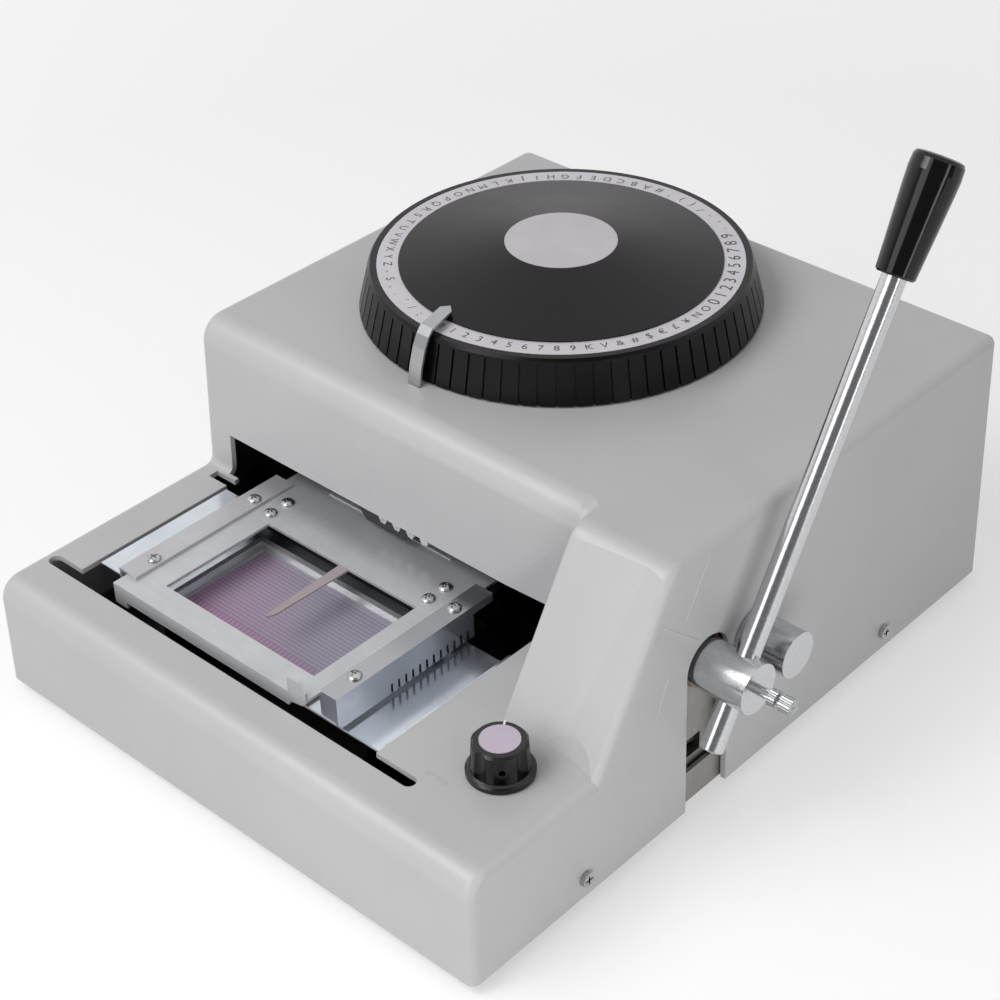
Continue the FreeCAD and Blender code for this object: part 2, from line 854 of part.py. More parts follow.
def make_dial():
    wheel = body("Wheel")
    revolve(wheel, [
        ("skirt_radius - shell", "skirt_bottom"),
        ("skirt_radius", "skirt_bottom"),
        ("rim_radius + 1.2", "rim_top - 1.6"),
        ("rim_radius", "rim_top"),
        ("ring_outer + seat_gap / 3", "rim_top"),
        ("ring_outer + seat_gap / 3", "rim_top - ring_thick"),
        ("ring_inner", "rim_top - ring_thick"),
        ("ring_inner", "rim_top + 0.6"),
        ("0.72 * ring_inner", "rim_top + 0.45 * (dish_top - rim_top)"),
        ("disc_radius + 3", "dish_top - 0.5"),
        ("disc_radius + 0.2", "dish_top"),
        ("disc_radius + 0.2", "dish_top - disc_thick"),
        ("spindle_radius + 8", "dish_top - disc_thick"),
        ("spindle_radius + 8", "spindle_top - 6"),
        ("spindle_radius", "spindle_top - 6"),
        ("spindle_radius", "skirt_bottom + 2"),
        ("spindle_radius + 4", "skirt_bottom + 2"),
        ("spindle_radius + 5", "rim_top - 2 * shell"),
        ("rim_radius - 2 * shell", "rim_top - 2 * shell"),
    ])
    groove = sketch(wheel, "YZ_Plane", "-rib_width / 2")
    slope = "(skirt_radius - rim_radius - 1.2) / (rim_top - 1.6 - skirt_bottom)"
    low = "skirt_bottom - 1"
    high = "rim_top - 3"
    polygon(groove, [
        (f"skirt_radius - rib_depth + {slope}", low),
        ("skirt_radius + 5", low),
        ("skirt_radius + 5", f"{high} + 3"),
        (f"skirt_radius + 1.2 - {slope} * ({high} - skirt_bottom)", f"{high} + 1"),
        (f"skirt_radius - rib_depth - {slope} * ({high} - skirt_bottom)", high),
    ])
    one = pocket(wheel, groove, "rib_width", reverse=True)
    around(wheel, one, "rib_count")
    part(place(wheel, "dial_x", "dial_y"), "dial_wheel")

    ring = body("Ring")
    revolve(ring, [
        ("ring_inner", "rim_top - ring_thick"),
        ("ring_outer", "rim_top - ring_thick"),
        ("ring_outer", "rim_top"),
        ("ring_inner", "rim_top"),
    ])
    part(place(ring, "dial_x", "dial_y"), "character_ring")
    disc = rod(UPRIGHT, "dial_x", "dial_y", "dish_top - disc_thick", "disc_radius", "disc_thick")
    part(disc, "centre_disc")
    spindle = rod(UPRIGHT, "dial_x", "dial_y", "spindle_bottom", "spindle_radius",
                  "spindle_top - spindle_bottom - 6")
    thread = rod(UPRIGHT, "dial_x", "dial_y", "spindle_top - 6", "spindle_radius - 3", "6")
    part(fuse(spindle, thread), "dial_spindle")
    nut = prism(UPRIGHT, "dial_x", "dial_y", "spindle_top - 6", "spindle_radius + 3", "5", 6)
    hole = rod(UPRIGHT, "dial_x", "dial_y", "spindle_top - 7", "spindle_radius - 3", "8")
    part(cut(nut, hole), "spindle_nut")


def type_wheel(label, low, high, slug_low, slug_high):
    """Notched disc, and the row of sliding slugs that sit in its notches."""
    wheel = body("TypeWheel")
    middle = f"({low} + {high}) / 2"
    revolve(wheel, [
        ("spindle_radius", f"{low} - 1"),
        ("wheel_hub_radius", f"{low} - 1"),
        ("wheel_hub_radius", f"{middle} - web_thick / 2"),
        ("slug_circle - 2 * slug_length", f"{middle} - web_thick / 2"),
        ("slug_circle - 2 * slug_length", low),
        ("type_radius", low),
        ("type_radius", high),
        ("slug_circle - 2 * slug_length", high),
        ("slug_circle - 2 * slug_length", f"{middle} + web_thick / 2"),
        ("wheel_hub_radius", f"{middle} + web_thick / 2"),
        ("wheel_hub_radius", f"{high} + 1"),
        ("spindle_radius", f"{high} + 1"),
    ])
    notch = sketch(wheel, "XY_Plane", f"{low} - 1")
    inner = "slug_circle - slug_length / 2"
    polygon(notch, [
        ("-slug_width / 2", f"-type_radius - 2"),
        ("slug_width / 2", f"-type_radius - 2"),
        ("slug_width / 2", f"-({inner})"),
        ("-slug_width / 2", f"-({inner})"),
    ])
    one = pocket(wheel, notch, f"{high} - {low} + 2", reverse=True)
    around(wheel, one, "rib_count")
    part(place(wheel, "dial_x", "dial_y"), f"{label}_type_wheel")

    slugs = []
    slug = doc.addObject("Part::Box", "Slug")
    slug.setExpression("Length", cells("slug_width"))
    slug.setExpression("Width", cells("slug_length"))
    slug.setExpression("Height", cells(f"{slug_high} - {slug_low}"))
    doc.recompute()
    for i in range(int(number("rib_count"))):
        turn = Rotation(Vector(0, 0, 1), i * 360 / number("rib_count"))
        shape = slug.Shape.copy()
        shape.translate(Vector(-number("slug_width") / 2, number(f"-({inner}) - slug_length"),
                               number(slug_low)))
        shape.rotate(Vector(), turn.Axis, math.degrees(turn.Angle))
        slugs.append(shape)
    row = doc.addObject("Part::Feature", "Slugs")
    row.Shape = Part.makeCompound(slugs)
    part(place(row, "dial_x", "dial_y"), f"{label}_slugs")


# ---- lever and press train ----


def leaning(obj, x):
    """Turn an upright piece to the lever's lean about the main shaft."""
    obj.Placement = Placement(Vector(), Rotation(Vector(1, 0, 0), -number("rod_lean")))
    return place(obj, x, "shaft_y", "shaft_z")


def make_lever():
    shaft_start = "-frame_outer - bush_flange_thick"
    shaft = rod(ALONG_X, shaft_start, "shaft_y", "shaft_z", "shaft_radius",
                f"shaft_end - ({shaft_start})")
    part(shaft, "main_shaft")
    hub = rod(ALONG_X, "hub_start", "shaft_y", "shaft_z", "hub_radius", "hub_end - hub_start")
    socket = rod(ALONG_X, "hub_start - 1", "shaft_y", "shaft_z", "shaft_radius",
                 "shaft_end - hub_start + 1")
    crossing = doc.addObject("Part::Cylinder", "Crossing")
    crossing.setExpression("Radius", cells("rod_radius"))
    crossing.setExpression("Height", cells("4 * hub_radius"))
    lean = Rotation(Vector(1, 0, 0), -number("rod_lean"))
    crossing.Placement = Placement(Vector(), lean)
    back = "2 * hub_radius"
    place(crossing, "rod_x", f"shaft_y - {back} * sin(rod_lean)", f"shaft_z - {back} * cos(rod_lean)")
    tapping = rod(ALONG_X, "rod_x", "shaft_y", "shaft_z", "lock_radius", "hub_end - rod_x + 1")
    part(cut(hub, socket, crossing, tapping), "lever_hub")

    bar = body("Rod")
    revolve(bar, [
        ("0", "-rod_stub"),
        ("rod_radius - 0.6", "-rod_stub"),
        ("rod_radius", "0.6 - rod_stub"),
        ("rod_radius", "rod_reach - 1"),
        ("rod_radius - 1", "rod_reach"),
        ("0", "rod_reach"),
    ])
    part(leaning(bar, "rod_x"), "lever_rod")
    grip = body("Grip")
    top = "grip_start + grip_length"
    revolve(grip, [
        ("rod_radius", "grip_start"),
        ("grip_bottom_radius - 1", "grip_start"),
        ("grip_bottom_radius", "grip_start + 1"),
        ("grip_top_radius - 0.4", f"{top} - 16"),
        ("grip_top_radius", f"{top} - 8"),
        ("grip_top_radius - 0.3", f"{top} - 2.5"),
        ("grip_top_radius - 1.2", f"{top} - 0.7"),
        ("grip_top_radius - 3.2", top),
        ("0", f"{top} + 0.5"),
        ("0", "rod_reach"),
        ("rod_radius", "rod_reach"),
    ])
    part(leaning(grip, "rod_x"), "lever_grip")

    screw_start = "rod_x + rod_radius"
    screw_end = "half_width + nut_reach"
    shank = rod(ALONG_X, screw_start, "shaft_y", "shaft_z", "lock_radius",
                f"{screw_end} - knob_head_thick - ({screw_start})")
    head = prism(ALONG_X, f"{screw_end} - knob_head_thick", "shaft_y", "shaft_z", "knurl_radius",
                 "knob_head_thick", 20)
    part(fuse(shank, head), "lock_screw")
    nut = prism(ALONG_X, "nut_start", "shaft_y", "shaft_z", "knurl_radius", "nut_thick", 20)
    hole = rod(ALONG_X, "nut_start - 1", "shaft_y", "shaft_z", "lock_radius", "nut_thick + 2")
    part(cut(nut, hole), "lock_nut")

    start = "half_width - tan(draft) * (post_z - post_flange_radius) + 0.05"
    post = [
        rod(ALONG_X, start, "post_y", "post_z", "post_radius", f"post_end - ({start})"),
        rod(ALONG_X, start, "post_y", "post_z", "post_flange_radius", "post_flange_thick"),
        rod(ALONG_X, "frame_inner", "post_y", "post_z", "post_shank_radius",
            f"{start} - frame_inner + 1"),
    ]
    part(fuse(*post), "stop_post")


def turned(obj, phase, x, y, z):
    """Turn a piece drawn along +Y about the shaft's axis and set it on that shaft."""
    obj.Placement = Placement(Vector(), Rotation(Vector(1, 0, 0), number(phase)))
    return place(obj, x, y, z)


def eccentric(label, y, z):
    cam = body("Cam")
    drawing = sketch(cam, "YZ_Plane", "-cam_width / 2")
    circle(drawing, "cam_throw", "0", "cam_radius")
    circle(drawing, "0", "0", "shaft_radius")
    pad(cam, drawing, "cam_width")
    part(turned(cam, "cam_phase", "dial_x", y, z), label)


def crank(label, y, z):
    arm = body("Crank")
    web = sketch(arm, "YZ_Plane")
    polygon(web, [
        ("0", "-crank_boss_radius * 0.8"),
        ("crank_throw", "-eye_radius"),
        ("crank_throw", "eye_radius"),
        ("0", "crank_boss_radius * 0.8"),
    ])
    pad(arm, web, "crank_thick")
    for centre, radius, length in (
        ("0", "crank_boss_radius", "crank_thick"),
        ("crank_throw", "eye_radius", "crank_thick"),
        ("crank_throw", "crank_pin_radius", "crank_thick + link_thick + 2"),
    ):
        drawing = sketch(arm, "YZ_Plane")
        circle(drawing, centre, "0", radius)
        pad(arm, drawing, length)
    bore = sketch(arm, "YZ_Plane", "-1")
    circle(bore, "0", "0", "shaft_radius")
    pocket(arm, bore, "crank_thick + 2", reverse=True)
    part(turned(arm, "crank_phase", "crank_x", y, z), label)


def flanged_bush(x, y, z, outward):
    sleeve = rod(ALONG_X, x, y, z, "bush_radius", "frame_thick")
    flange_x = f"{x} + frame_thick" if outward > 0 else f"{x} - bush_flange_thick"
    flange = rod(ALONG_X, flange_x, y, z, "bush_flange_radius", "bush_flange_thick")
    bore = rod(ALONG_X, f"{x} - 3", y, z, "bush_bore", "frame_thick + 6")
    return cut(fuse(sleeve, flange), bore)


def make_press():
    bushes = [
        flanged_bush("frame_inner", "shaft_y", "shaft_z", 1),
        flanged_bush("-frame_outer", "shaft_y", "shaft_z", -1),
        flanged_bush("frame_inner", "press_y", "lower_z", -1),
    ]
    part(group(*bushes), "shaft_bushes")
    eccentric("punch_cam", "shaft_y", "shaft_z")
    eccentric("die_cam", "press_y", "lower_z")
    crank("upper_crank", "shaft_y", "shaft_z")
    crank("lower_crank", "press_y", "lower_z")
    collar = rod(ALONG_X, "12 - frame_inner", "shaft_y", "shaft_z", "shaft_radius + 4.5", "8")
    bore = rod(ALONG_X, "11 - frame_inner", "shaft_y", "shaft_z", "shaft_radius", "10")
    part(cut(collar, bore), "shaft_collar")
    lower_start = "dial_x - block_width / 2 - 3"
    lower = rod(ALONG_X, lower_start, "press_y", "lower_z", "shaft_radius",
                f"frame_outer - ({lower_start})")
    part(lower, "lower_shaft")

    # the link runs between the two crank pins, parallel to the line of the two shafts
    pin_y = "crank_throw * cos(crank_phase)"
    pin_z = "crank_throw * sin(crank_phase)"
    link_x = "crank_x + crank_thick + 0.4"
    ends = (("shaft_y", "shaft_z", "running_gap"), ("press_y", "lower_z", "link_slack"))
    eyes = [
        rod(ALONG_X, link_x, f"{y} + {pin_y}", f"{z} + {pin_z}", "eye_radius", "link_thick")
        for y, z, slack in ends
    ]
    holes = [
        rod(ALONG_X, f"{link_x} - 1", f"{y} + {pin_y}", f"{z} + {pin_z}",
            f"crank_pin_radius + {slack}", "link_thick + 2")
        for y, z, slack in ends
    ]
    bar = profile_x([
        (f"press_y + {pin_y} - link_width / 2", f"lower_z + {pin_z}"),
        (f"press_y + {pin_y} + link_width / 2", f"lower_z + {pin_z}"),
        (f"shaft_y + {pin_y} + link_width / 2", f"shaft_z + {pin_z}"),
        (f"shaft_y + {pin_y} - link_width / 2", f"shaft_z + {pin_z}"),
    ], link_x, f"{link_x} + link_thick")
    part(cut(fuse(bar, *eyes), *holes), "drive_link")

    # cross beam with the two ears that hold the rocker's pin
    half = "(rocker_width / 2 + seat_gap)"
    beam_y0 = "rocker_pin_y - beam_depth / 2"
    beam_y1 = "rocker_pin_y + beam_depth / 2"
    ears = [
        box(x0, f"{x0} + ear_thick", "rocker_pin_y - 5", "rocker_pin_y + 5", "rocker_pin_z - 6",
            "beam_bottom + 1")
        for x0 in (f"dial_x + {half}", f"dial_x - {half} - ear_thick")
    ]
    beam = box("-frame_inner", "frame_inner", beam_y0, beam_y1, "beam_bottom",
               "beam_bottom + beam_height")
    pin_x = f"dial_x - {half} - ear_thick - 1"
    pin_length = f"rocker_width + 2 * seat_gap + 2 * ear_thick + 2"
    seat = rod(ALONG_X, f"{pin_x} - 1", "rocker_pin_y", "rocker_pin_z", "rocker_pin_radius",
               f"{pin_length} + 2")
    part(cut(fuse(beam, *ears), seat), "press_beam")
    part(rod(ALONG_X, pin_x, "rocker_pin_y", "rocker_pin_z", "rocker_pin_radius", pin_length),
         "rocker_pin")

    toe = "shaft_z + cam_rise + cam_radius + rocker_clear"
    nose = "punch_slug_top + rocker_fall"
    rocker = profile_x([
        ("shaft_y - 4", toe),
        ("shaft_y + 5", toe),
        ("rocker_pin_y - rocker_boss_radius", "rocker_pin_z"),
        ("rocker_pin_y", "rocker_pin_z"),
        ("press_y - 3.5", nose),
        ("press_y + 1.5", nose),
        ("press_y + 1.5", f"{nose} + 4"),
        ("rocker_pin_y + 3", "rocker_pin_z + 4.6"),
        ("rocker_pin_y", "rocker_pin_z + rocker_boss_radius"),
        ("shaft_y - 4", f"{toe} + 8"),
    ], "dial_x - rocker_width / 2", "dial_x + rocker_width / 2")
    boss = rod(ALONG_X, "dial_x - rocker_width / 2", "rocker_pin_y", "rocker_pin_z",
               "rocker_boss_radius", "rocker_width")
    pivot = rod(ALONG_X, "dial_x - rocker_width", "rocker_pin_y", "rocker_pin_z",
                "rocker_pin_radius + running_gap", "2 * rocker_width")
    part(cut(fuse(rocker, boss), pivot), "punch_rocker")

    # block on the base plate that guides the die ram over the lower cam
    block_y0 = "press_y - block_depth / 2"
    block_y1 = "press_y + block_depth / 2"
    block = box("dial_x - block_width / 2", "dial_x + block_width / 2", block_y0, block_y1,
                "base_top", "block_top")
    tunnel = box("dial_x - block_width / 2 + block_leg", "dial_x + block_width / 2 - block_leg",
                 f"{block_y0} - 1", f"{block_y1} + 1", "base_top - 1", "block_roof")
    bearing = rod(ALONG_X, "dial_x - block_width", "press_y", "lower_z", "bush_bore",
                  "2 * block_width")
    guide = rod(UPRIGHT, "dial_x", "press_y", "block_roof - 1", "ram_radius + running_gap",
                "block_top - block_roof + 2")
    part(cut(block, tunnel, bearing, guide), "die_block")
    part(rod(UPRIGHT, "dial_x", "press_y", "ram_bottom", "ram_radius", "ram_top - ram_bottom"),
         "die_ram")

    rail = box("-frame_inner", "frame_inner", "front_rail_y", "front_rail_y + front_rail_depth",
               "front_rail_bottom", "front_rail_bottom + front_rail_height")
    part(rail, "front_rail")
    guard_left = "dial_x - guard_width / 2"
    guard = profile_y([
        (f"{guard_left} + 8", "guard_bottom"),
        (f"{guard_left} + guard_width - 8", "guard_bottom"),
        (f"{guard_left} + guard_width", "guard_bottom + 8"),
        (f"{guard_left} + guard_width", "front_rail_bottom + front_rail_height"),
        (guard_left, "front_rail_bottom + front_rail_height"),
        (guard_left, "guard_bottom + 8"),
    ], "front_rail_y - guard_thick", "front_rail_y")
    part(guard, "punch_guard")
    heads = [
        prism(ALONG_Y, f"dial_x + guard_screw_pitch * {i}", "front_rail_y - guard_thick - 2",
              "guard_screw_z", "2.9", "2", 6)
        for i in range(4)
    ]
    part(group(*heads), "guard_screws")


# ---- tray, chart and carriage ----


def make_tray():
    under = "tray_floor - tray_thick"
    section = [
        ("shelf_left", "shelf_top - tray_thick"),
        ("shelf_right - tray_thick", "shelf_top - tray_thick"),
        ("shelf_right - tray_thick", under),
        ("tray_right", under),
        ("tray_right", "tray_lip_top"),
        ("tray_right - tray_thick", "tray_lip_top"),
        ("tray_right - tray_thick", "tray_floor"),
        ("shelf_right", "tray_floor"),
        ("shelf_right", "shelf_top"),
        ("shelf_left", "shelf_top"),
    ]
    part(profile_y(section, "tray_front", "tray_rear"), "tray")
    stand = [
        ("stand_left", "base_top"),
        ("stand_left + stand_thick", "base_top"),
        ("stand_left + stand_thick", f"{under} - stand_thick"),
        ("stand_right - stand_thick", f"{under} - stand_thick"),
        ("stand_right - stand_thick", "base_top"),
        ("stand_right", "base_top"),
        ("stand_right", under),
        ("stand_left", under),
    ]
    part(profile_y(stand, "stand_front", "stand_rear"), "tray_stand")
    part(box("chart_left", "chart_right", "chart_front", "chart_rear", "tray_floor",
             "tray_floor + chart_thick"), "position_chart")
    top = "tray_floor + bezel_height"
    frame = box("chart_left - bezel_width", "chart_right + bezel_width", "chart_front - bezel_width",
                "chart_rear + bezel_width - 1", "tray_floor", top)
    hole = box("chart_left", "chart_right", "chart_front", "chart_rear", "tray_floor - 1", f"{top} + 1")
    ledge = box("chart_left - bezel_ledge", "chart_right + bezel_ledge", "chart_front - bezel_ledge",
                "chart_rear + bezel_ledge - 1", f"{top} - bezel_step", f"{top} + 1")
    part(cut(frame, hole, ledge), "chart_bezel")
    part(guide_bar(), "guide_rail")


def make_cross_slide():
    left = "left_angle_outer + angle_thick + seat_gap"
    right = "comb_outer - angle_thick - seat_gap"
    rear_bar = box(left, right, "slide_rear - slide_bar", "slide_rear", "slide_bottom", "slide_top")
    front_bar = box(left, right, "slide_front", "slide_front + slide_front_bar",
                    "slide_arm_bottom", "slide_top")
    arms = [
        box(x0, f"{x0} + slide_arm", "slide_front", "slide_rear", "slide_arm_bottom", "slide_top")
        for x0 in (left, f"{right} - slide_arm")
    ]
    bore = box(f"{left} - 1", f"{right} + 1", "rail_y - rail_thick / 2 - running_gap",
               "rail_y + rail_thick / 2 + running_gap", "slide_bottom - 1", "rail_top + running_gap")
    groove = box("dial_x - pointer_root_width", "dial_x + pointer_root_width", "slide_front - 1",
                 "slide_rear + 1", "plate_bottom - pointer_thick - 2 * seat_gap", "plate_bottom")
    part(cut(fuse(rear_bar, front_bar, *arms), bore, groove), "cross_slide")

    rack = body("Rack")
    rack_y = "slide_rear - slide_bar"
    strip = sketch(rack, "XZ_Plane", f"-({rack_y})")
    length = "rack_pitch * rack_teeth"
    polygon(strip, [
        ("rack_left", "slide_bottom - rack_height"),
        (f"rack_left + {length}", "slide_bottom - rack_height"),
        (f"rack_left + {length}", "slide_bottom"),
        ("rack_left", "slide_bottom"),
    ])
    pad(rack, strip, "rack_thick", reverse=True)
    gap = sketch(rack, "XZ_Plane", f"-({rack_y}) + 1")
    polygon(gap, [
        ("rack_left + 0.6", "slide_bottom - rack_height - 0.1"),
        ("rack_left + rack_pitch - 0.3", "slide_bottom - rack_height - 0.1"),
        ("rack_left + 1.4", "slide_bottom - rack_height + 2.4"),
    ])
    tooth = pocket(rack, gap, "rack_thick + 2")
    in_line(rack, tooth, "X_Axis", "rack_pitch", "rack_teeth")
    part(place(rack), "spacing_rack")

    # the catch is drawn back from the comb; it slides to the right into a slot
    face = "comb_outer - angle_thick - seat_gap - catch_travel"
    catch = box(f"{face} - catch_length", face, "line_y - catch_width / 2",
                "line_y + catch_width / 2", "comb_bottom + 1", "slide_arm_bottom - seat_gap")
    tooth = box(f"{face} - 1", "comb_outer + 0.8 - catch_travel", "line_y - 0.6",
                "line_y + 0.6", "comb_bottom + 1.5", "comb_bottom + comb_slot_height - 1")
    part(fuse(catch, tooth), "line_catch")


def pan_head(x, y, z):
    head = body("Head")
    revolve(head, [("0", "0"), ("3.6", "0"), ("3.6", "0.8"), ("3", "1.4"), ("1.8", "1.8"), ("0", "1.9")])
    slot = [
        box(f"{x} - {a}", f"{x} + {a}", f"{y} - {b}", f"{y} + {b}", f"{z} + 0.8", f"{z} + 2")
        for a, b in ((2.2, 0.45), (0.45, 2.2))
    ]
    return cut(place(head, x, y, z), *slot)


def make_carriage():
    plate = profile_z([
        ("plate_left", "plate_front"),
        ("comb_inner", "plate_front"),
        ("comb_inner", "angle_front + 2 * angle_thick"),
        ("plate_right", "angle_front + 2 * angle_thick"),
        ("plate_right", "plate_rear"),
        ("plate_left", "plate_rear"),
    ], "plate_bottom", "plate_top")
    lip = profile_y([
        ("plate_left", "lip_bottom"),
        ("tab_left", "lip_bottom"),
        ("tab_left + 1.5", "lip_bottom + 3"),
        ("comb_inner - 3", "lip_bottom + 4.2"),
        ("comb_inner", "plate_bottom"),
        ("comb_inner", "plate_top"),
        ("plate_left", "plate_top"),
    ], "plate_front", "lip_inner")
    hook = box("plate_left", "plate_left + hook_width", "plate_front", "lip_inner", "hook_bottom",
               "plate_top")
    tab = profile_y([
        ("tab_left", "plate_bottom"),
        ("comb_inner", "plate_bottom"),
        ("comb_inner", "plate_top + 0.5 * tab_height"),
        ("comb_inner - 4", "plate_top + tab_height"),
        ("tab_left + 0.8", "plate_top + tab_height"),
        ("tab_left", "plate_top + tab_height - 0.8"),
    ], "plate_front", "lip_inner")
    window = box("window_left", "window_right", "window_front", "window_rear", "plate_bottom - 1",
                 "plate_top + 1")
    part(cut(fuse(plate, lip, hook, tab), window), "card_plate")

    top = "plate_top + angle_thick"
    left_strip = box("left_angle_outer", "left_angle_inner", "angle_front", "angle_rear",
                     "plate_top", top)
    left_leg = box("left_angle_outer", "left_angle_outer + angle_thick", "angle_front",
                   "angle_leg_rear", "left_leg_bottom", top)
    part(fuse(left_strip, left_leg), "left_angle")

    comb = body("Comb")
    strip = sketch(comb, "XZ_Plane", "-angle_front")
    polygon(strip, [
        ("comb_inner", "plate_top"),
        ("comb_outer - angle_thick", "plate_top"),
        ("comb_outer - angle_thick", "plate_bottom - 2"),
        ("comb_outer", "plate_bottom - 2"),
        ("comb_outer", top),
        ("comb_inner", top),
    ])
    pad(comb, strip, "angle_rear - angle_front", reverse=True)
    leg = sketch(comb, "YZ_Plane", "comb_outer - angle_thick")
    polygon(leg, [
        ("angle_front + 2", "comb_bottom"),
        ("angle_leg_rear", "comb_bottom"),
        ("angle_leg_rear", "plate_bottom"),
        ("angle_front", "plate_bottom"),
        ("angle_front", "comb_bottom + 2"),
        ("angle_front + 0.6", "comb_bottom + 0.6"),
    ])
    pad(comb, leg, "angle_thick")
    flap = sketch(comb, "XZ_Plane", "-angle_front")
    polygon(flap, [
        ("comb_inner + 1", "flap_bottom"),
        ("comb_outer - angle_thick / 2", "flap_bottom"),
        ("comb_outer - angle_thick / 2", "plate_top + angle_thick / 2"),
        ("comb_inner", "plate_top + angle_thick / 2"),
        ("comb_inner", "flap_bottom + 1"),
    ])
    pad(comb, flap, "angle_thick", reverse=True)
    slot = sketch(comb, "YZ_Plane", "comb_outer - angle_thick - 1")
    polygon(slot, [
        ("comb_first - comb_slot_width / 2", "comb_bottom - 1"),
        ("comb_first + comb_slot_width / 2", "comb_bottom - 1"),
        ("comb_first + comb_slot_width / 2", "comb_bottom + comb_slot_height"),
        ("comb_first - comb_slot_width / 2", "comb_bottom + comb_slot_height"),
    ])
    one = pocket(comb, slot, "angle_thick + 2", reverse=True)
    in_line(comb, one, "Y_Axis", "comb_pitch", "comb_slots")
    part(place(comb), "comb_angle")

    on_strip = "plate_top + angle_thick"
    heads = [
        pan_head("left_angle_outer + 8", "angle_front + 16", on_strip),
        pan_head("left_angle_outer + 8", "angle_rear - 23", on_strip),
        pan_head("comb_inner + 5.4", "angle_front + 18", on_strip),
        pan_head("comb_inner + 5.4", "angle_rear - 21", on_strip),
        pan_head("window_left - 6", "window_rear + 7", "plate_top"),
        pan_head("window_left - 6", "window_rear + 19", "plate_top"),
        pan_head("window_right", "window_rear + 8.7", "plate_top"),
        pan_head("window_right", "window_rear + 20.7", "plate_top"),
    ]
    part(group(*heads), "carriage_screws")

    low = "plate_bottom - pointer_thick"
    pointer = profile_z([
        ("dial_x - pointer_tip_width / 2", "pointer_tip + 5"),
        ("dial_x", "pointer_tip"),
        ("dial_x + pointer_tip_width / 2", "pointer_tip + 5"),
        ("dial_x + pointer_root_width / 2", "window_rear"),
        ("dial_x + pointer_root_width / 2", "window_rear + 12"),
        ("dial_x - pointer_root_width / 2", "window_rear + 12"),
        ("dial_x - pointer_root_width / 2", "window_rear"),
    ], low, "plate_bottom")
    part(pointer, "position_pointer")
    clamp = profile_x([
        ("clamp_front", "plate_top"),
        ("plate_rear - 3", "plate_top"),
        ("plate_rear", "plate_top + 0.5"),
        ("plate_rear", "plate_top + 0.5 + clamp_thick"),
        ("plate_rear - 3", "plate_top + clamp_thick"),
        ("clamp_front", "plate_top + clamp_thick"),
    ], "clamp_left", "clamp_right")
    part(clamp, "card_clamp")


# ---- knob and index pointer ----


def make_knob():
    knob = body("Knob")
    top = "knob_base + knob_height"
    revolve(knob, [
        ("knob_shaft_radius", "knob_base"),
        ("knob_skirt_radius", "knob_base"),
        ("knob_skirt_radius", "knob_base + knob_skirt_height - 0.8"),
        ("knob_skirt_radius - 0.8", "knob_base + knob_skirt_height"),
        ("knob_body_radius", "knob_base + knob_skirt_height + 0.6"),
        ("knob_top_radius", f"{top} - 1.6"),
        ("knob_top_radius - 1.2", f"{top} - 0.4"),
        ("knob_cap_radius + 0.1", f"{top} - 0.4"),
        ("knob_cap_radius + 0.1", f"{top} - 1.6"),
        ("knob_shaft_radius", f"{top} - 1.6"),
    ])
    flute = sketch(knob, "XY_Plane", "knob_base + knob_skirt_height + 0.6")
    circle(flute, "0", "knob_body_radius + 3", "5.2")
    one = pocket(knob, flute, "knob_height", reverse=True)
    around(knob, one, "knob_lobes")
    facing = Rotation(Vector(0, 0, 1), Vector(0.72, -0.69, 0))
    hole = rod(facing, "knob_x + 5.8", "knob_y - 5.5", "knob_base + 9", "1.6", "20")
    part(cut(place(knob, "knob_x", "knob_y"), hole), "spacing_knob")
    cap = rod(UPRIGHT, "knob_x", "knob_y", f"{top} - 1.6", "knob_cap_radius", "1.6")
    part(cap, "knob_cap")
    shaft = rod(UPRIGHT, "knob_x", "knob_y", "knob_shaft_bottom", "knob_shaft_radius",
                f"{top} - 1.6 - knob_shaft_bottom")
    cam = rod(UPRIGHT, "knob_x", "knob_y", "knob_shaft_bottom", "selector_radius", "4")
    finger = box("knob_x - selector_radius - 9", "knob_x", "knob_y - 3", "knob_y + 3",
                 "knob_shaft_bottom", "knob_shaft_bottom + 4")
    part(fuse(shaft, cam, finger), "knob_shaft")
    low = "deck_top - wall - 8"
    sleeve = rod(UPRIGHT, "knob_x", "knob_y", low, "knob_bush_radius", f"deck_top - ({low})")
    nut = prism(UPRIGHT, "knob_x", "knob_y", "deck_top - wall - 4", "8", "4", 6)
    bore = rod(UPRIGHT, "knob_x", "knob_y", f"{low} - 1", "knob_shaft_radius + running_gap", "20")
    part(cut(fuse(sleeve, nut), bore), "knob_bush")


def make_index():
    under = "hood_top - wall - index_thick"
    bend = [("0", "hood_top"), ("1.8", "hood_top + 9.5"), ("4.9", "hood_top + 19.5"),
            ("8", "index_top - 2.6"), ("11.2", "index_top + index_thick"),
            ("13", "index_top + index_thick"), ("13", "index_top"), ("11.7", "index_top"),
            ("8.9", "index_top - 3.2"), ("6.1", "hood_top + 19.2"), ("3", "hood_top + 9.2"),
            ("index_thick", "hood_top"), ("index_thick", f"{under} + index_thick"),
            ("12", f"{under} + index_thick"), ("12", under), ("0", under)]
    left = "index_x - index_width / 2"
    right = "index_x + index_width / 2"
    strip = profile_x([(f"index_y + {y}", z) for y, z in bend], left, right)
    arm = profile_z([
        (left, "index_y + 11.5"),
        (right, "index_y + 11.5"),
        (f"{right} - 4.6", "index_tip_y - 3.4"),
        (f"{right} - 8.7", "index_tip_y"),
        (f"{left} - 4", "index_tip_y - 4"),
    ], "index_top", "index_top + index_thick")
    part(fuse(strip, arm), "index_pointer")


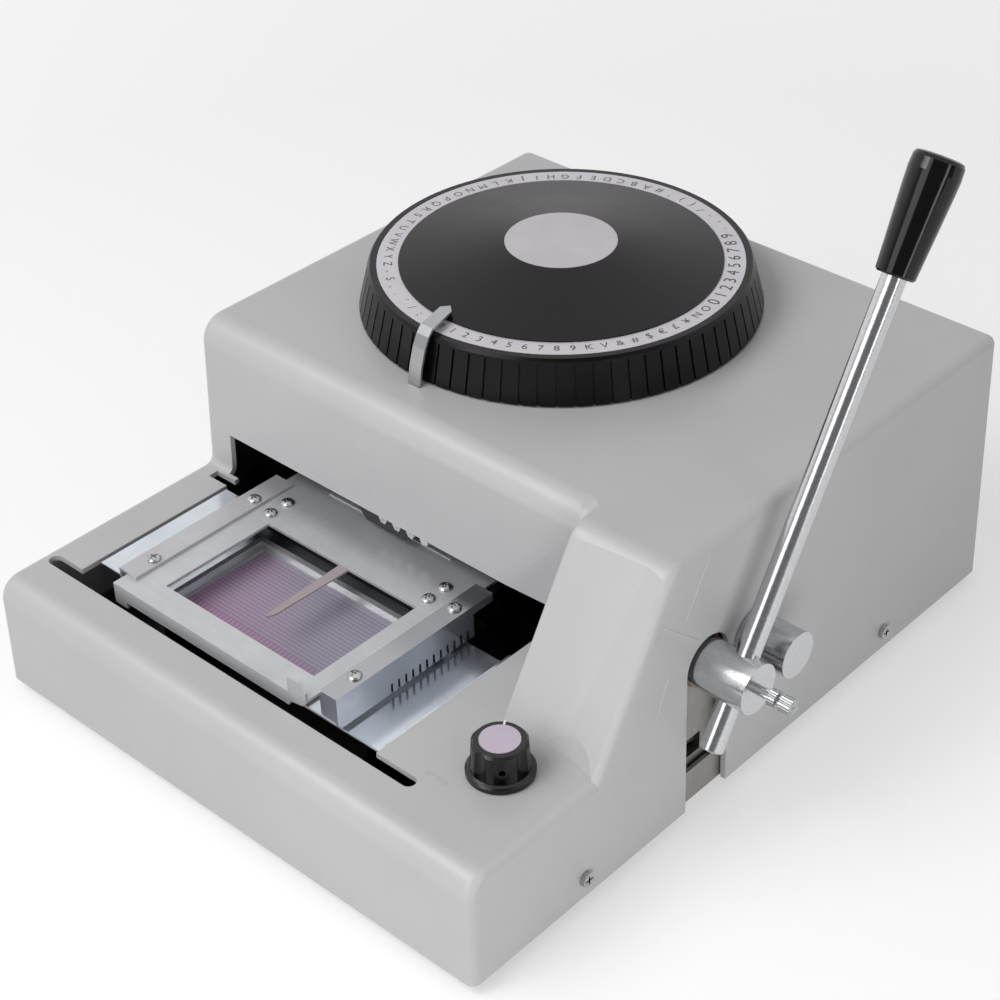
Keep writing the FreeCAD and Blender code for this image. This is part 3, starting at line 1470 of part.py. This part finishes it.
make_cover()
make_base()
make_frame()
make_dial()
type_wheel("punch", "punch_wheel_bottom", "punch_wheel_top", "punch_slug_bottom", "punch_slug_top")
type_wheel("die", "die_wheel_bottom", "die_wheel_top", "die_slug_bottom", "die_slug_top")
make_lever()
make_press()
make_tray()
make_cross_slide()
make_carriage()
make_knob()
make_index()
doc.recompute()

for item in doc.Objects:
    if "Invalid" in item.State or "Error" in item.State:
        raise RuntimeError(f"{item.Label} failed: {item.State}")
os.makedirs("parts", exist_ok=True)
for item in parts:
    if item.Shape.isNull() or not item.Shape.isValid():
        raise RuntimeError(f"{item.Label} has no valid shape")
    item.Shape.exportStep(f"parts/{item.Label}.step")
print(len(parts), "sub-parts")
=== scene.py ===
import bpy
import bmesh
import json
import math
from mathutils import Matrix, Vector


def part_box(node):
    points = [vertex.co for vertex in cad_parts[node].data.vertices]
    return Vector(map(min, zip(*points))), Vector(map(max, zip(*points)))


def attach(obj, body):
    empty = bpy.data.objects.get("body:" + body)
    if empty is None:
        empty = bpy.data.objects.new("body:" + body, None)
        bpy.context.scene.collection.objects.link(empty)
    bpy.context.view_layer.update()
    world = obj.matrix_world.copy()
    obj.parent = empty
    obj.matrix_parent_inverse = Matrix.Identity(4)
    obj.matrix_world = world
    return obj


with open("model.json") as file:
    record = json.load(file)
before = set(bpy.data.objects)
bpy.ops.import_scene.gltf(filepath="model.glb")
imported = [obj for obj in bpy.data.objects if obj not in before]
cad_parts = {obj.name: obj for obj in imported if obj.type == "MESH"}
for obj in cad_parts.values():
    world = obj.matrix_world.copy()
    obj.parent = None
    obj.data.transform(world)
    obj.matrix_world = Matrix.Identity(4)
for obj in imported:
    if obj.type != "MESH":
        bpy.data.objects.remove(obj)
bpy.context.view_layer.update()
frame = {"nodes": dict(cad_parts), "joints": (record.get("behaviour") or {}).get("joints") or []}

NODES = frame["nodes"]
JOINT_AT = {joint["name"]: Vector(joint["pos_m"]) for joint in frame["joints"]}
MM = 0.001


def add_object(name, data):
    """Put data such as a mesh, lamp or camera into the scene."""
    made = bpy.data.objects.new(name, data)
    bpy.context.scene.collection.objects.link(made)
    return made


# ---- node helpers ----


def linear(hex_colour):
    """Scene-linear RGBA of a colour written as six hex digits."""
    def channel(v):
        v /= 255
        return v / 12.92 if v <= 0.04045 else ((v + 0.055) / 1.055) ** 2.4
    return tuple(channel(int(hex_colour[i:i + 2], 16)) for i in (0, 2, 4)) + (1,)


class Nodes:
    """Short calls that make and link the nodes of one node tree."""

    def __init__(self, tree):
        self.tree = tree

    def node(self, kind, **inputs):
        """A new node; an input's name is written with _ for its spaces."""
        made = self.tree.nodes.new(kind)
        for key, value in inputs.items():
            made.inputs[key.replace("_", " ")].default_value = value
        return made

    def link(self, a, b):
        self.tree.links.new(a, b)

    def feed(self, socket, value):
        """Give a socket a number, a hex colour or another node's output; None leaves it alone."""
        if isinstance(value, str):
            socket.default_value = linear(value)
        elif isinstance(value, (int, float)):
            socket.default_value = value
        elif value is not None:
            self.link(value, socket)

    def math(self, operation, a, b=None):
        made = self.node("ShaderNodeMath")
        made.operation = operation
        for socket, value in zip(made.inputs, (a, b)):
            self.feed(socket, value)
        return made.outputs[0]

    def vector_math(self, operation, *vectors):
        """The number that a vector operation gives, such as a length or a dot product."""
        made = self.node("ShaderNodeVectorMath")
        made.operation = operation
        for socket, vector in zip(made.inputs, vectors):
            if isinstance(vector, tuple):
                socket.default_value = vector
            else:
                self.link(vector, socket)
        return made.outputs["Value"]

    def map_range(self, value, from_range, to_range, interpolation="LINEAR"):
        """Carry a value from one range to another; the ends may be numbers or outputs."""
        made = self.node("ShaderNodeMapRange")
        made.interpolation_type = interpolation
        self.link(value, made.inputs["Value"])
        for name, end in zip(("From Min", "From Max", "To Min", "To Max"), from_range + to_range):
            self.feed(made.inputs[name], end)
        return made.outputs["Result"]


class Paint(Nodes):
    """A procedural material: a principled shader with the few node patterns the parts need."""

    def __init__(self, name, colour, roughness=0.5, metallic=0.0, specular=0.5):
        self.mat = bpy.data.materials.new(name)
        self.mat.use_nodes = True
        super().__init__(self.mat.node_tree)
        self.shader = self.tree.nodes["Principled BSDF"]
        self.put("Base Color", linear(colour))
        self.put("Roughness", roughness)
        self.put("Metallic", metallic)
        self.put("Specular IOR Level", specular)
        self.where = self.node("ShaderNodeTexCoord").outputs["Object"]

    def put(self, socket, value):
        self.shader.inputs[socket].default_value = value

    def stretched(self, scale):
        """Object coordinates scaled by a vector, so that noise turns into grain."""
        mapping = self.node("ShaderNodeMapping", Scale=scale)
        self.link(self.where, mapping.inputs["Vector"])
        return mapping.outputs["Vector"]

    def noise(self, scale, detail=3.0, at=None, roughness=0.55):
        """Noise with its scale per metre."""
        made = self.node("ShaderNodeTexNoise", Scale=scale, Detail=detail, Roughness=roughness)
        self.link(at or self.where, made.inputs["Vector"])
        return made.outputs["Fac"]

    def ramp(self, value, stops):
        """Colour ramp; a stop is its place with a hex colour or a grey level."""
        made = self.node("ShaderNodeValToRGB")
        elements = made.color_ramp.elements
        while len(elements) < len(stops):
            elements.new(0.5)
        for element, (place, colour) in zip(elements, stops):
            element.position = place
            element.color = linear(colour) if isinstance(colour, str) else (colour, colour, colour, 1)
        self.link(value, made.inputs["Fac"])
        return made.outputs["Color"]

    def mix(self, factor, a, b):
        """Colour between a and b."""
        made = self.node("ShaderNodeMix")
        made.data_type = "RGBA"
        factor_socket, a_socket, b_socket = made.inputs[0], made.inputs[6], made.inputs[7]
        for socket, value in ((factor_socket, factor), (a_socket, a), (b_socket, b)):
            self.feed(socket, value)
        return made.outputs[2]

    def colour_from(self, output):
        self.link(output, self.shader.inputs["Base Color"])

    def roughness_from(self, output):
        self.link(output, self.shader.inputs["Roughness"])

    def bump(self, height, strength, distance=0.2 * MM):
        made = self.node("ShaderNodeBump", Strength=strength, Distance=distance)
        self.link(height, made.inputs["Height"])
        self.link(made.outputs["Normal"], self.shader.inputs["Normal"])

    def split(self, vector):
        """The X, Y and Z of a vector output."""
        parts = self.node("ShaderNodeSeparateXYZ")
        self.link(vector, parts.inputs[0])
        return parts.outputs


# ---- kinds of material ----

# noise per metre along the grain of rolled or ground sheet, and across it
ALONG, ACROSS = 60.0, 2600.0
GRAIN_X = (ALONG, ACROSS, ACROSS)
GRAIN_Y = (ACROSS, ALONG, ACROSS)
GRAIN_Z = (ACROSS, ACROSS, ALONG)
EVEN_GRAIN = (900.0, 900.0, 900.0)

FACING = 0.7        # a surface faces an axis where that part of its normal is above this
KNURLS = 20         # grooves round the lock screw and nut


def moulded(name, low, high, roughness, grain=1800.0, strength=0.05):
    """Moulded plastic: faint mottling and a fine texture."""
    paint = Paint(name, low, roughness, specular=0.45)
    paint.colour_from(paint.ramp(paint.noise(14.0, detail=4.0), [(0.3, low), (0.7, high)]))
    cloud = paint.noise(60.0)
    paint.roughness_from(paint.ramp(cloud, [(0.2, roughness - 0.04), (0.8, roughness + 0.05)]))
    paint.bump(paint.noise(grain, detail=2.0), strength)
    return paint


def sheet_metal(name, low, high, roughness, stretch, strength=0.06, metallic=1.0):
    """Rolled or ground metal: grain along one direction and cloudy tone."""
    paint = Paint(name, low, roughness, metallic=metallic)
    grain = paint.noise(1.0, detail=4.0, at=paint.stretched(stretch), roughness=0.7)
    cloud = paint.noise(45.0)
    tone = paint.math("ADD", paint.math("MULTIPLY", grain, 0.5), paint.math("MULTIPLY", cloud, 0.5))
    paint.colour_from(paint.ramp(tone, [(0.35, low), (0.65, high)]))
    paint.roughness_from(paint.ramp(tone, [(0.3, roughness + 0.06), (0.7, roughness - 0.05)]))
    paint.bump(grain, strength)
    return paint


def punched_steel_painted_shade(name, low, high, roughness):
    """Bright sheet for the comb with painted shade: its top is painted a darker grey and the walls of
    its punched slots are painted black, as shade.
    """
    paint = sheet_metal(name, low, high, roughness, GRAIN_Y, strength=0.03, metallic=0.8)
    bright = paint.shader.inputs["Base Color"].links[0].from_socket
    normal = paint.split(paint.node("ShaderNodeNewGeometry").outputs["Normal"])
    upward = paint.math("GREATER_THAN", normal["Z"], FACING)
    slot_side = paint.math("GREATER_THAN", paint.math("ABSOLUTE", normal["Y"]), FACING)
    slots_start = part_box("comb_angle")[0][1] + 6 * MM
    behind_flap = paint.math("GREATER_THAN", paint.split(paint.where)["Y"], slots_start)
    # painted shade: a darker grey on the comb's top, and black on the slot walls behind the flap
    painted_top_shade, painted_slot_shade = "ADAEB2", "0C0C0D"
    top_shaded_colour = paint.mix(upward, bright, painted_top_shade)
    paint.colour_from(paint.mix(paint.math("MULTIPLY", slot_side, behind_flap), top_shaded_colour, painted_slot_shade))
    return paint


def plated(name, low, high, roughness, scale=220.0, strength=0.03):
    """Bright plating with faint waviness and worn spots."""
    paint = Paint(name, low, roughness, metallic=1.0)
    patch = paint.noise(scale, detail=4.0)
    paint.colour_from(paint.ramp(patch, [(0.3, low), (0.7, high)]))
    worn = paint.noise(scale * 3)
    paint.roughness_from(paint.ramp(worn, [(0.3, roughness * 0.6), (0.8, roughness * 1.6)]))
    paint.bump(patch, strength)
    return paint


def knurled(name, low, high, roughness):
    """Bright plating with bumped grooves round the lever shaft's axis, painted darker in the grooves as
    shade.
    """
    paint = plated(name, low, high, roughness)
    axis = JOINT_AT["lever_pull"]
    at = paint.split(paint.where)
    angle = paint.math("ARCTAN2", paint.math("SUBTRACT", at["Z"], axis.z),
                       paint.math("SUBTRACT", at["Y"], axis.y))
    ridge = paint.math("PINGPONG", paint.math("MULTIPLY", angle, KNURLS / math.pi), 1.0)
    # painted shade: the grooves are coloured dark and the ridges bright
    painted_groove_shade = "55565A"
    paint.colour_from(paint.ramp(ridge, [(0.1, painted_groove_shade), (0.35, low), (0.8, high)]))
    paint.bump(ridge, 0.8, distance=0.4 * MM)
    return paint


def printed_chart():
    """Position chart: fine rows and columns on a tinted ground, with a row of ticks in front."""
    paint = Paint("chart_print", "C7BCCB", 0.55)
    at = paint.split(paint.where)
    x, y = at["X"], at["Y"]
    column_pitch, row_pitch = 2.72 * MM, 2.4 * MM
    column_width, row_width, tick_width = 0.22, 0.3, 0.35
    column_ink, grid_ink, tick_ink = 0.5, 0.62, 0.7
    tick_row_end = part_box("position_chart")[0][1] + 11.9 * MM

    def lines(axis, pitch, width):
        """1 on lines as wide as that share of their pitch, 0 between them; a metre keeps it positive."""
        phase = paint.math("FRACT", paint.math("DIVIDE", paint.math("ADD", axis, 1.0), pitch))
        return paint.math("LESS_THAN", phase, width)

    # the ground is pink at the front left and greys along x + y, half way at half_pink metres
    half_pink, fade_per_metre = -0.21, -9.0
    past_half = paint.math("SUBTRACT", paint.math("ADD", x, y), half_pink)
    pink = paint.math("ADD", paint.math("MULTIPLY", past_half, fade_per_metre), 0.5)
    ground = paint.mix(pink, "9F9BA9", "B691B1")

    columns = paint.math("MULTIPLY", lines(x, column_pitch, column_width), column_ink)
    grid = paint.math("MAXIMUM", columns, lines(y, row_pitch, row_width))
    ruled = paint.mix(paint.math("MULTIPLY", grid, grid_ink), ground, "776E80")
    ticks = paint.math("MULTIPLY", lines(x, column_pitch, tick_width), tick_ink)
    ticked = paint.mix(ticks, ground, "A8508C")
    paint.colour_from(paint.mix(paint.math("LESS_THAN", y, tick_row_end), ruled, ticked))
    paint.bump(paint.noise(900.0), 0.03)
    return paint


# ---- the part's materials ----

cover_paint = moulded("cover_plastic", "B7B7B8", "BCBCBD", 0.36)
cover_paint.put("Coat Weight", 0.05)
cover_paint.put("Coat Roughness", 0.1)
dial_paint = moulded("dial_plastic", "060607", "0B0B0C", 0.26, 900.0, 0.06)
dial_paint.put("Specular IOR Level", 0.22)
knob_paint = moulded("knob_plastic", "08080A", "0E0E0F", 0.24, 900.0, 0.05)
grip_paint = moulded("grip_bakelite", "040405", "070708", 0.1, 300.0, 0.01)
grip_paint.put("Specular IOR Level", 0.38)
guard_paint = moulded("guard_paint", "101011", "161618", 0.45, 700.0, 0.1)
rubber_paint = moulded("foot_rubber", "151515", "1E1E1E", 0.8, 500.0, 0.3)
enamel_paint = moulded("pointer_enamel", "9A8E92", "A89DA1", 0.4)

plate_paint = sheet_metal("zinc_sheet", "BABBBE", "CACBCE", 0.36, GRAIN_X, metallic=0.55)
index_paint = sheet_metal("index_steel", "9FA0A2", "B2B3B5", 0.3, GRAIN_Y, metallic=0.7)
angle_paint = sheet_metal("zinc_sheet_deep", "B4B3B7", "C5C4C8", 0.34, GRAIN_Y, metallic=0.5)
tray_paint = sheet_metal("tray_steel", "C6CBD3", "D8DDE4", 0.16, GRAIN_Y, 0.03, metallic=0.85)
bezel_paint = sheet_metal("bezel_steel", "BABBBF", "CFD0D3", 0.2, GRAIN_Y, metallic=0.55)
rail_paint = sheet_metal("blued_rail", "2A2C30", "3A3C41", 0.32, GRAIN_X)
frame_paint = sheet_metal("frame_zinc", "8C8B88", "A3A19C", 0.45, GRAIN_Z)
steel_paint = sheet_metal("ground_steel", "8E9093", "A6A8AB", 0.3, GRAIN_X)
dark_steel = sheet_metal("dark_steel", "1E1F21", "2C2D30", 0.5, GRAIN_X)
disc_paint = sheet_metal("dial_metal", "BCB8BD", "C5C1C6", 0.45, EVEN_GRAIN, 0.02, metallic=0.3)
ring_paint = sheet_metal("ring_metal", "C6C3C8", "CFCCD1", 0.42, EVEN_GRAIN, 0.02, metallic=0.3)
cap_paint = sheet_metal("cap_metal", "BDB0BF", "C6BAC8", 0.4, EVEN_GRAIN, 0.02, metallic=0.3)
comb_paint = punched_steel_painted_shade("comb_steel", "CBD1DA", "DCE1E8", 0.19)

lever_paint = plated("lever_plating", "C2C3C5", "D2D3D5", 0.2, 900.0, 0.14)
screw_paint = plated("screw_plating", "A6A7A7", "C4C5C4", 0.24)
bronze_paint = plated("bush_bronze", "54382C", "745140", 0.34)
knurl_paint = knurled("knurled_plating", "C2C3C4", "DADBDC", 0.26)

chart_paint = printed_chart()

# nodes that aren't named here are plain ground steel
NODE_PAINTS = {
    "cover": cover_paint,
    "dial_wheel": dial_paint,
    "character_ring": ring_paint,
    "centre_disc": disc_paint,
    "index_pointer": index_paint,
    "lever_hub": lever_paint,
    "lever_rod": lever_paint,
    "lever_grip": grip_paint,
    "lock_screw": knurl_paint,
    "lock_nut": knurl_paint,
    "stop_post": lever_paint,
    "shaft_bushes": bronze_paint,
    "knob_bush": bronze_paint,
    "card_plate": plate_paint,
    "left_angle": angle_paint,
    "comb_angle": comb_paint,
    "card_clamp": plate_paint,
    "carriage_screws": screw_paint,
    "cover_screws": screw_paint,
    "guard_screws": screw_paint,
    "position_pointer": enamel_paint,
    "position_chart": chart_paint,
    "chart_bezel": bezel_paint,
    "guide_rail": rail_paint,
    "tray": tray_paint,
    "spacing_knob": knob_paint,
    "knob_cap": cap_paint,
    "rubber_feet": rubber_paint,
    "punch_guard": guard_paint,
    "front_rail": guard_paint,
    "press_beam": dark_steel,
    "cross_slide": dark_steel,
    "tray_stand": dark_steel,
    "punch_type_wheel": dark_steel,
    "die_type_wheel": dark_steel,
    "punch_slugs": dark_steel,
    "die_slugs": dark_steel,
    "base_plate": frame_paint,
    "right_side_plate": frame_paint,
    "left_side_plate": frame_paint,
}


def paint_nodes():
    """Give every CAD node its material."""
    for name, node in NODES.items():
        paint = NODE_PAINTS.get(name, steel_paint)
        if not node.material_slots:
            node.data.materials.append(paint.mat)
        for place in node.material_slots:
            place.material = paint.mat


# ---- added pieces: lettering and the knob's mark ----


def top_of(node):
    """Height of a node's highest point."""
    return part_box(node)[1][2]


def bottom_of(node):
    """Height of a node's lowest point."""
    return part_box(node)[0][2]


def add_piece(name, form, paint, body):
    """Make a piece from a bmesh and let it ride on a body."""
    mesh = bpy.data.meshes.new(name)
    form.to_mesh(mesh)
    made = add_object(name, mesh)
    mesh.materials.append(paint.mat)
    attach(made, body)
    return made


def add_text(form, text, size, place, align_y="TOP_BASELINE", extrude=0.0):
    """Add the flat shape of a text, centred across, to a bmesh at a place."""
    curve = bpy.data.curves.new("text", "FONT")
    curve.body = text
    curve.size = size
    curve.extrude = extrude
    curve.align_x = "CENTER"
    curve.align_y = align_y
    curve.resolution_u = 3
    holder = add_object("text", curve)
    shape = bpy.data.meshes.new_from_object(holder)
    shape.transform(place)
    form.from_mesh(shape)
    bpy.data.objects.remove(holder)


def dial_characters():
    """Seventy-two characters round the ring, their feet outward, one for each slug."""
    small, large = 6.6 * MM, 9.4 * MM
    runs = (("0123456789", small), ("KV&#$€£¥NO", small), ("0123456789", large),
            (".,-/()'#", small), ("ABCDEFGHIJKLMNOPQRSTUVWXYZ", small), ("-S,.'/;0", small))
    rows = [(character, size) for text, size in runs for character in text]
    ring_radius, lift = 90.6 * MM, 0.05 * MM
    centre = JOINT_AT["dial_turn"].copy()
    centre.z = top_of("character_ring") + lift
    ring = bmesh.new()
    for i, (character, size) in enumerate(rows):
        angle = math.tau * i / len(rows) - math.pi / 2
        outward = Vector((math.cos(angle), math.sin(angle), 0))
        turn = Matrix.Rotation(angle + math.pi / 2, 4, "Z")
        place = Matrix.Translation(centre + outward * ring_radius) @ turn
        add_text(ring, character, size, place, align_y="CENTER")
    ink = Paint("ink", "2A2A2E", 0.5)
    ink.colour_from(ink.ramp(ink.noise(500.0), [(0.35, "1E1E22"), (0.75, "4A4A50")]))
    add_piece("dial_characters", ring, ink, "dial")


def knob_mark():
    """White index line on the knob's top rim, pointing to the rear."""
    length, width, thickness, rounding = 3.0 * MM, 1.1 * MM, 0.2 * MM, 0.05 * MM
    radius, lift = 11.5 * MM, 0.02 * MM
    direction = math.radians(122)
    centre = JOINT_AT["knob_turn"].copy()
    centre.z = top_of("spacing_knob") + lift
    bar = bmesh.new()
    bmesh.ops.create_cube(bar, size=1)
    bmesh.ops.scale(bar, vec=(length, width, thickness), verts=bar.verts)
    bmesh.ops.bevel(bar, geom=bar.edges[:], offset=rounding, segments=1, affect="EDGES")
    outward = Matrix.Rotation(direction, 4, "Z") @ Matrix.Translation(Vector((radius, 0, 0)))
    bmesh.ops.transform(bar, matrix=Matrix.Translation(centre) @ outward, verts=bar.verts)
    white = Paint("mark_white", "E4E2E4", 0.5)
    white.colour_from(white.ramp(white.noise(900.0), [(0.3, "DEDCDE"), (0.7, "ECEAEC")]))
    add_piece("knob_mark", bar, white, "knob")


def spacing_marks():
    """Faint raised pitch numbers on the deck, to the front left of the knob."""
    knob_clearance, lift = 0.5 * MM, 0.04 * MM
    size, relief, front_of_knob = 4.2 * MM, 0.08 * MM, 23.7 * MM
    knob = JOINT_AT["knob_turn"]
    deck = bottom_of("spacing_knob") - knob_clearance
    marks = bmesh.new()
    for text, left_of_knob in (("1/7", 23.8 * MM), ("1/10", 15.8 * MM)):
        at = Vector((knob.x - left_of_knob, knob.y - front_of_knob, deck + lift))
        add_text(marks, text, size, Matrix.Translation(at), extrude=relief)
    add_piece("spacing_marks", marks, cover_paint, "housing")


# ---- floor, surround, lamps and camera ----

FLOOR_SIZE = 12
FLOOR_DROP = 0.2 * MM
NEAR, FAR = 0.7, 2.6                    # metres from the part over which the floor grows brighter
GLOW_NEAR, GLOW_FAR = 0.44, 0.74        # what the floor adds for the camera and in reflections

AMBIENT = 0.37                          # light of the surround on the object
SEEN, SEEN_DARK = 1.0, 0.18             # its brightness in view and reflections, and on the dark side
DARK_SIDE = (0.5, -0.8, -0.33)
DARK_START, DARK_END = -0.15, 0.45      # along DARK_SIDE

# points that the lamps are aimed at, and the long side of the two that the lever mirrors
MIDDLE = (0, 0, 0.1)
GRIP = (0.145, 0.09, 0.26)
HUB = (0.165, -0.05, 0.08)
LEVER_LEAN = Vector((0, 0.616, 0.788))

CAMERA_AT = (0.625758, -0.682221, 0.757905)
AZIMUTH, ELEVATION, ROLL = 41.537, 35.328, -0.52
SENSOR, LENS = 36, 80.646               # mm
SHIFT_X, SHIFT_Y = -0.0683, -0.00997    # shares of the frame
CLIP_START = 0.05


def floor():
    """Pale floor that keeps the shadow and glows a little for the camera and in reflections."""
    bpy.ops.mesh.primitive_plane_add(size=FLOOR_SIZE, location=(0, 0, -FLOOR_DROP))
    plane = bpy.context.object
    plane.name = "floor"
    paint = Paint("floor_white", "C8C8C8", 0.8)
    rays = paint.node("ShaderNodeLightPath").outputs
    seen = paint.math("MAXIMUM", rays["Is Camera Ray"], rays["Is Glossy Ray"])
    distance = paint.vector_math("LENGTH", paint.where)
    glow = paint.node("ShaderNodeEmission")
    strength = paint.map_range(distance, (NEAR, FAR), (GLOW_NEAR, GLOW_FAR))
    paint.link(paint.math("MULTIPLY", seen, strength), glow.inputs["Strength"])
    total = paint.node("ShaderNodeAddShader")
    paint.link(paint.shader.outputs[0], total.inputs[0])
    paint.link(glow.outputs[0], total.inputs[1])
    paint.link(total.outputs[0], paint.tree.nodes["Material Output"].inputs["Surface"])
    plane.data.materials.append(paint.mat)


def surround():
    """White room: one even light on the object, with a darker side that only reflections show."""
    world = bpy.data.worlds.new("studio")
    bpy.context.scene.world = world
    world.use_nodes = True
    room = Nodes(world.node_tree)
    background = room.tree.nodes["Background"]
    background.inputs["Color"].default_value = (1, 1, 1, 1)
    rays = room.node("ShaderNodeLightPath").outputs
    direction = room.node("ShaderNodeTexCoord").outputs["Generated"]
    along_dark = room.vector_math("DOT_PRODUCT", direction, DARK_SIDE)
    mirrored = room.map_range(along_dark, (DARK_START, DARK_END), (SEEN, SEEN_DARK), "SMOOTHSTEP")
    lit = room.map_range(rays["Is Glossy Ray"], (0.0, 1.0), (AMBIENT, mirrored))
    shown = room.map_range(rays["Is Camera Ray"], (0.0, 1.0), (lit, SEEN))
    room.link(shown, background.inputs["Strength"])


def softbox(name, at, towards, size, power, upright=None):
    """Rectangular lamp, in metres and watts, unseen by the camera; upright is its long side."""
    lamp = bpy.data.lights.new(name, "AREA")
    lamp.shape = "RECTANGLE"
    lamp.size, lamp.size_y = size
    lamp.energy = power
    holder = add_object(name, lamp)
    holder.location = at
    holder.visible_camera = False
    out = (Vector(at) - Vector(towards)).normalized()
    if upright is None:
        holder.rotation_euler = (-out).to_track_quat("-Z", "Y").to_euler()
    else:
        across = upright.cross(out).normalized()
        holder.rotation_euler = Matrix((across, out.cross(across), out)).transposed().to_euler()
    return holder


def lamps():
    """Large key from the front left, two strips for the lever's reflections and a weak low fill."""
    softbox("key", at=(-0.8, -1.15, 1.8), towards=MIDDLE, size=(1.4, 1.0), power=19.0)
    softbox("front_strip", at=(-0.12, -1.26, 1.03), towards=GRIP, size=(0.8, 1.5), power=7.6,
            upright=LEVER_LEAN)
    softbox("side_strip", at=(1.5, -0.2, 0.5), towards=GRIP, size=(0.22, 0.7), power=1.7,
            upright=LEVER_LEAN)
    fill = softbox("low_fill", at=(0.75, -0.5, 0.14), towards=HUB, size=(0.5, 0.25), power=2.1)
    fill.visible_glossy = False


def photo_camera():
    """Camera at the photograph's place, turned by azimuth and elevation and rolled a little."""
    azimuth, elevation, roll = (math.radians(v) for v in (AZIMUTH, ELEVATION, ROLL))
    back = Vector((math.sin(azimuth) * math.cos(elevation),
                   -math.cos(azimuth) * math.cos(elevation),
                   math.sin(elevation)))
    level = Vector((math.cos(azimuth), math.sin(azimuth), 0))
    upright = back.cross(level)
    right = math.cos(roll) * level + math.sin(roll) * upright
    up = -math.sin(roll) * level + math.cos(roll) * upright
    data = bpy.data.cameras.new("photo_camera")
    data.sensor_width = SENSOR
    data.lens = LENS
    data.shift_x = SHIFT_X
    data.shift_y = SHIFT_Y
    data.clip_start = CLIP_START
    camera = add_object("photo_camera", data)
    turn = Matrix((right, up, back)).transposed().to_4x4()
    camera.matrix_world = Matrix.Translation(CAMERA_AT) @ turn
    bpy.context.scene.camera = camera


paint_nodes()
dial_characters()
knob_mark()
spacing_marks()
floor()
surround()
lamps()
photo_camera()
bpy.context.scene.view_settings.view_transform = "Standard"
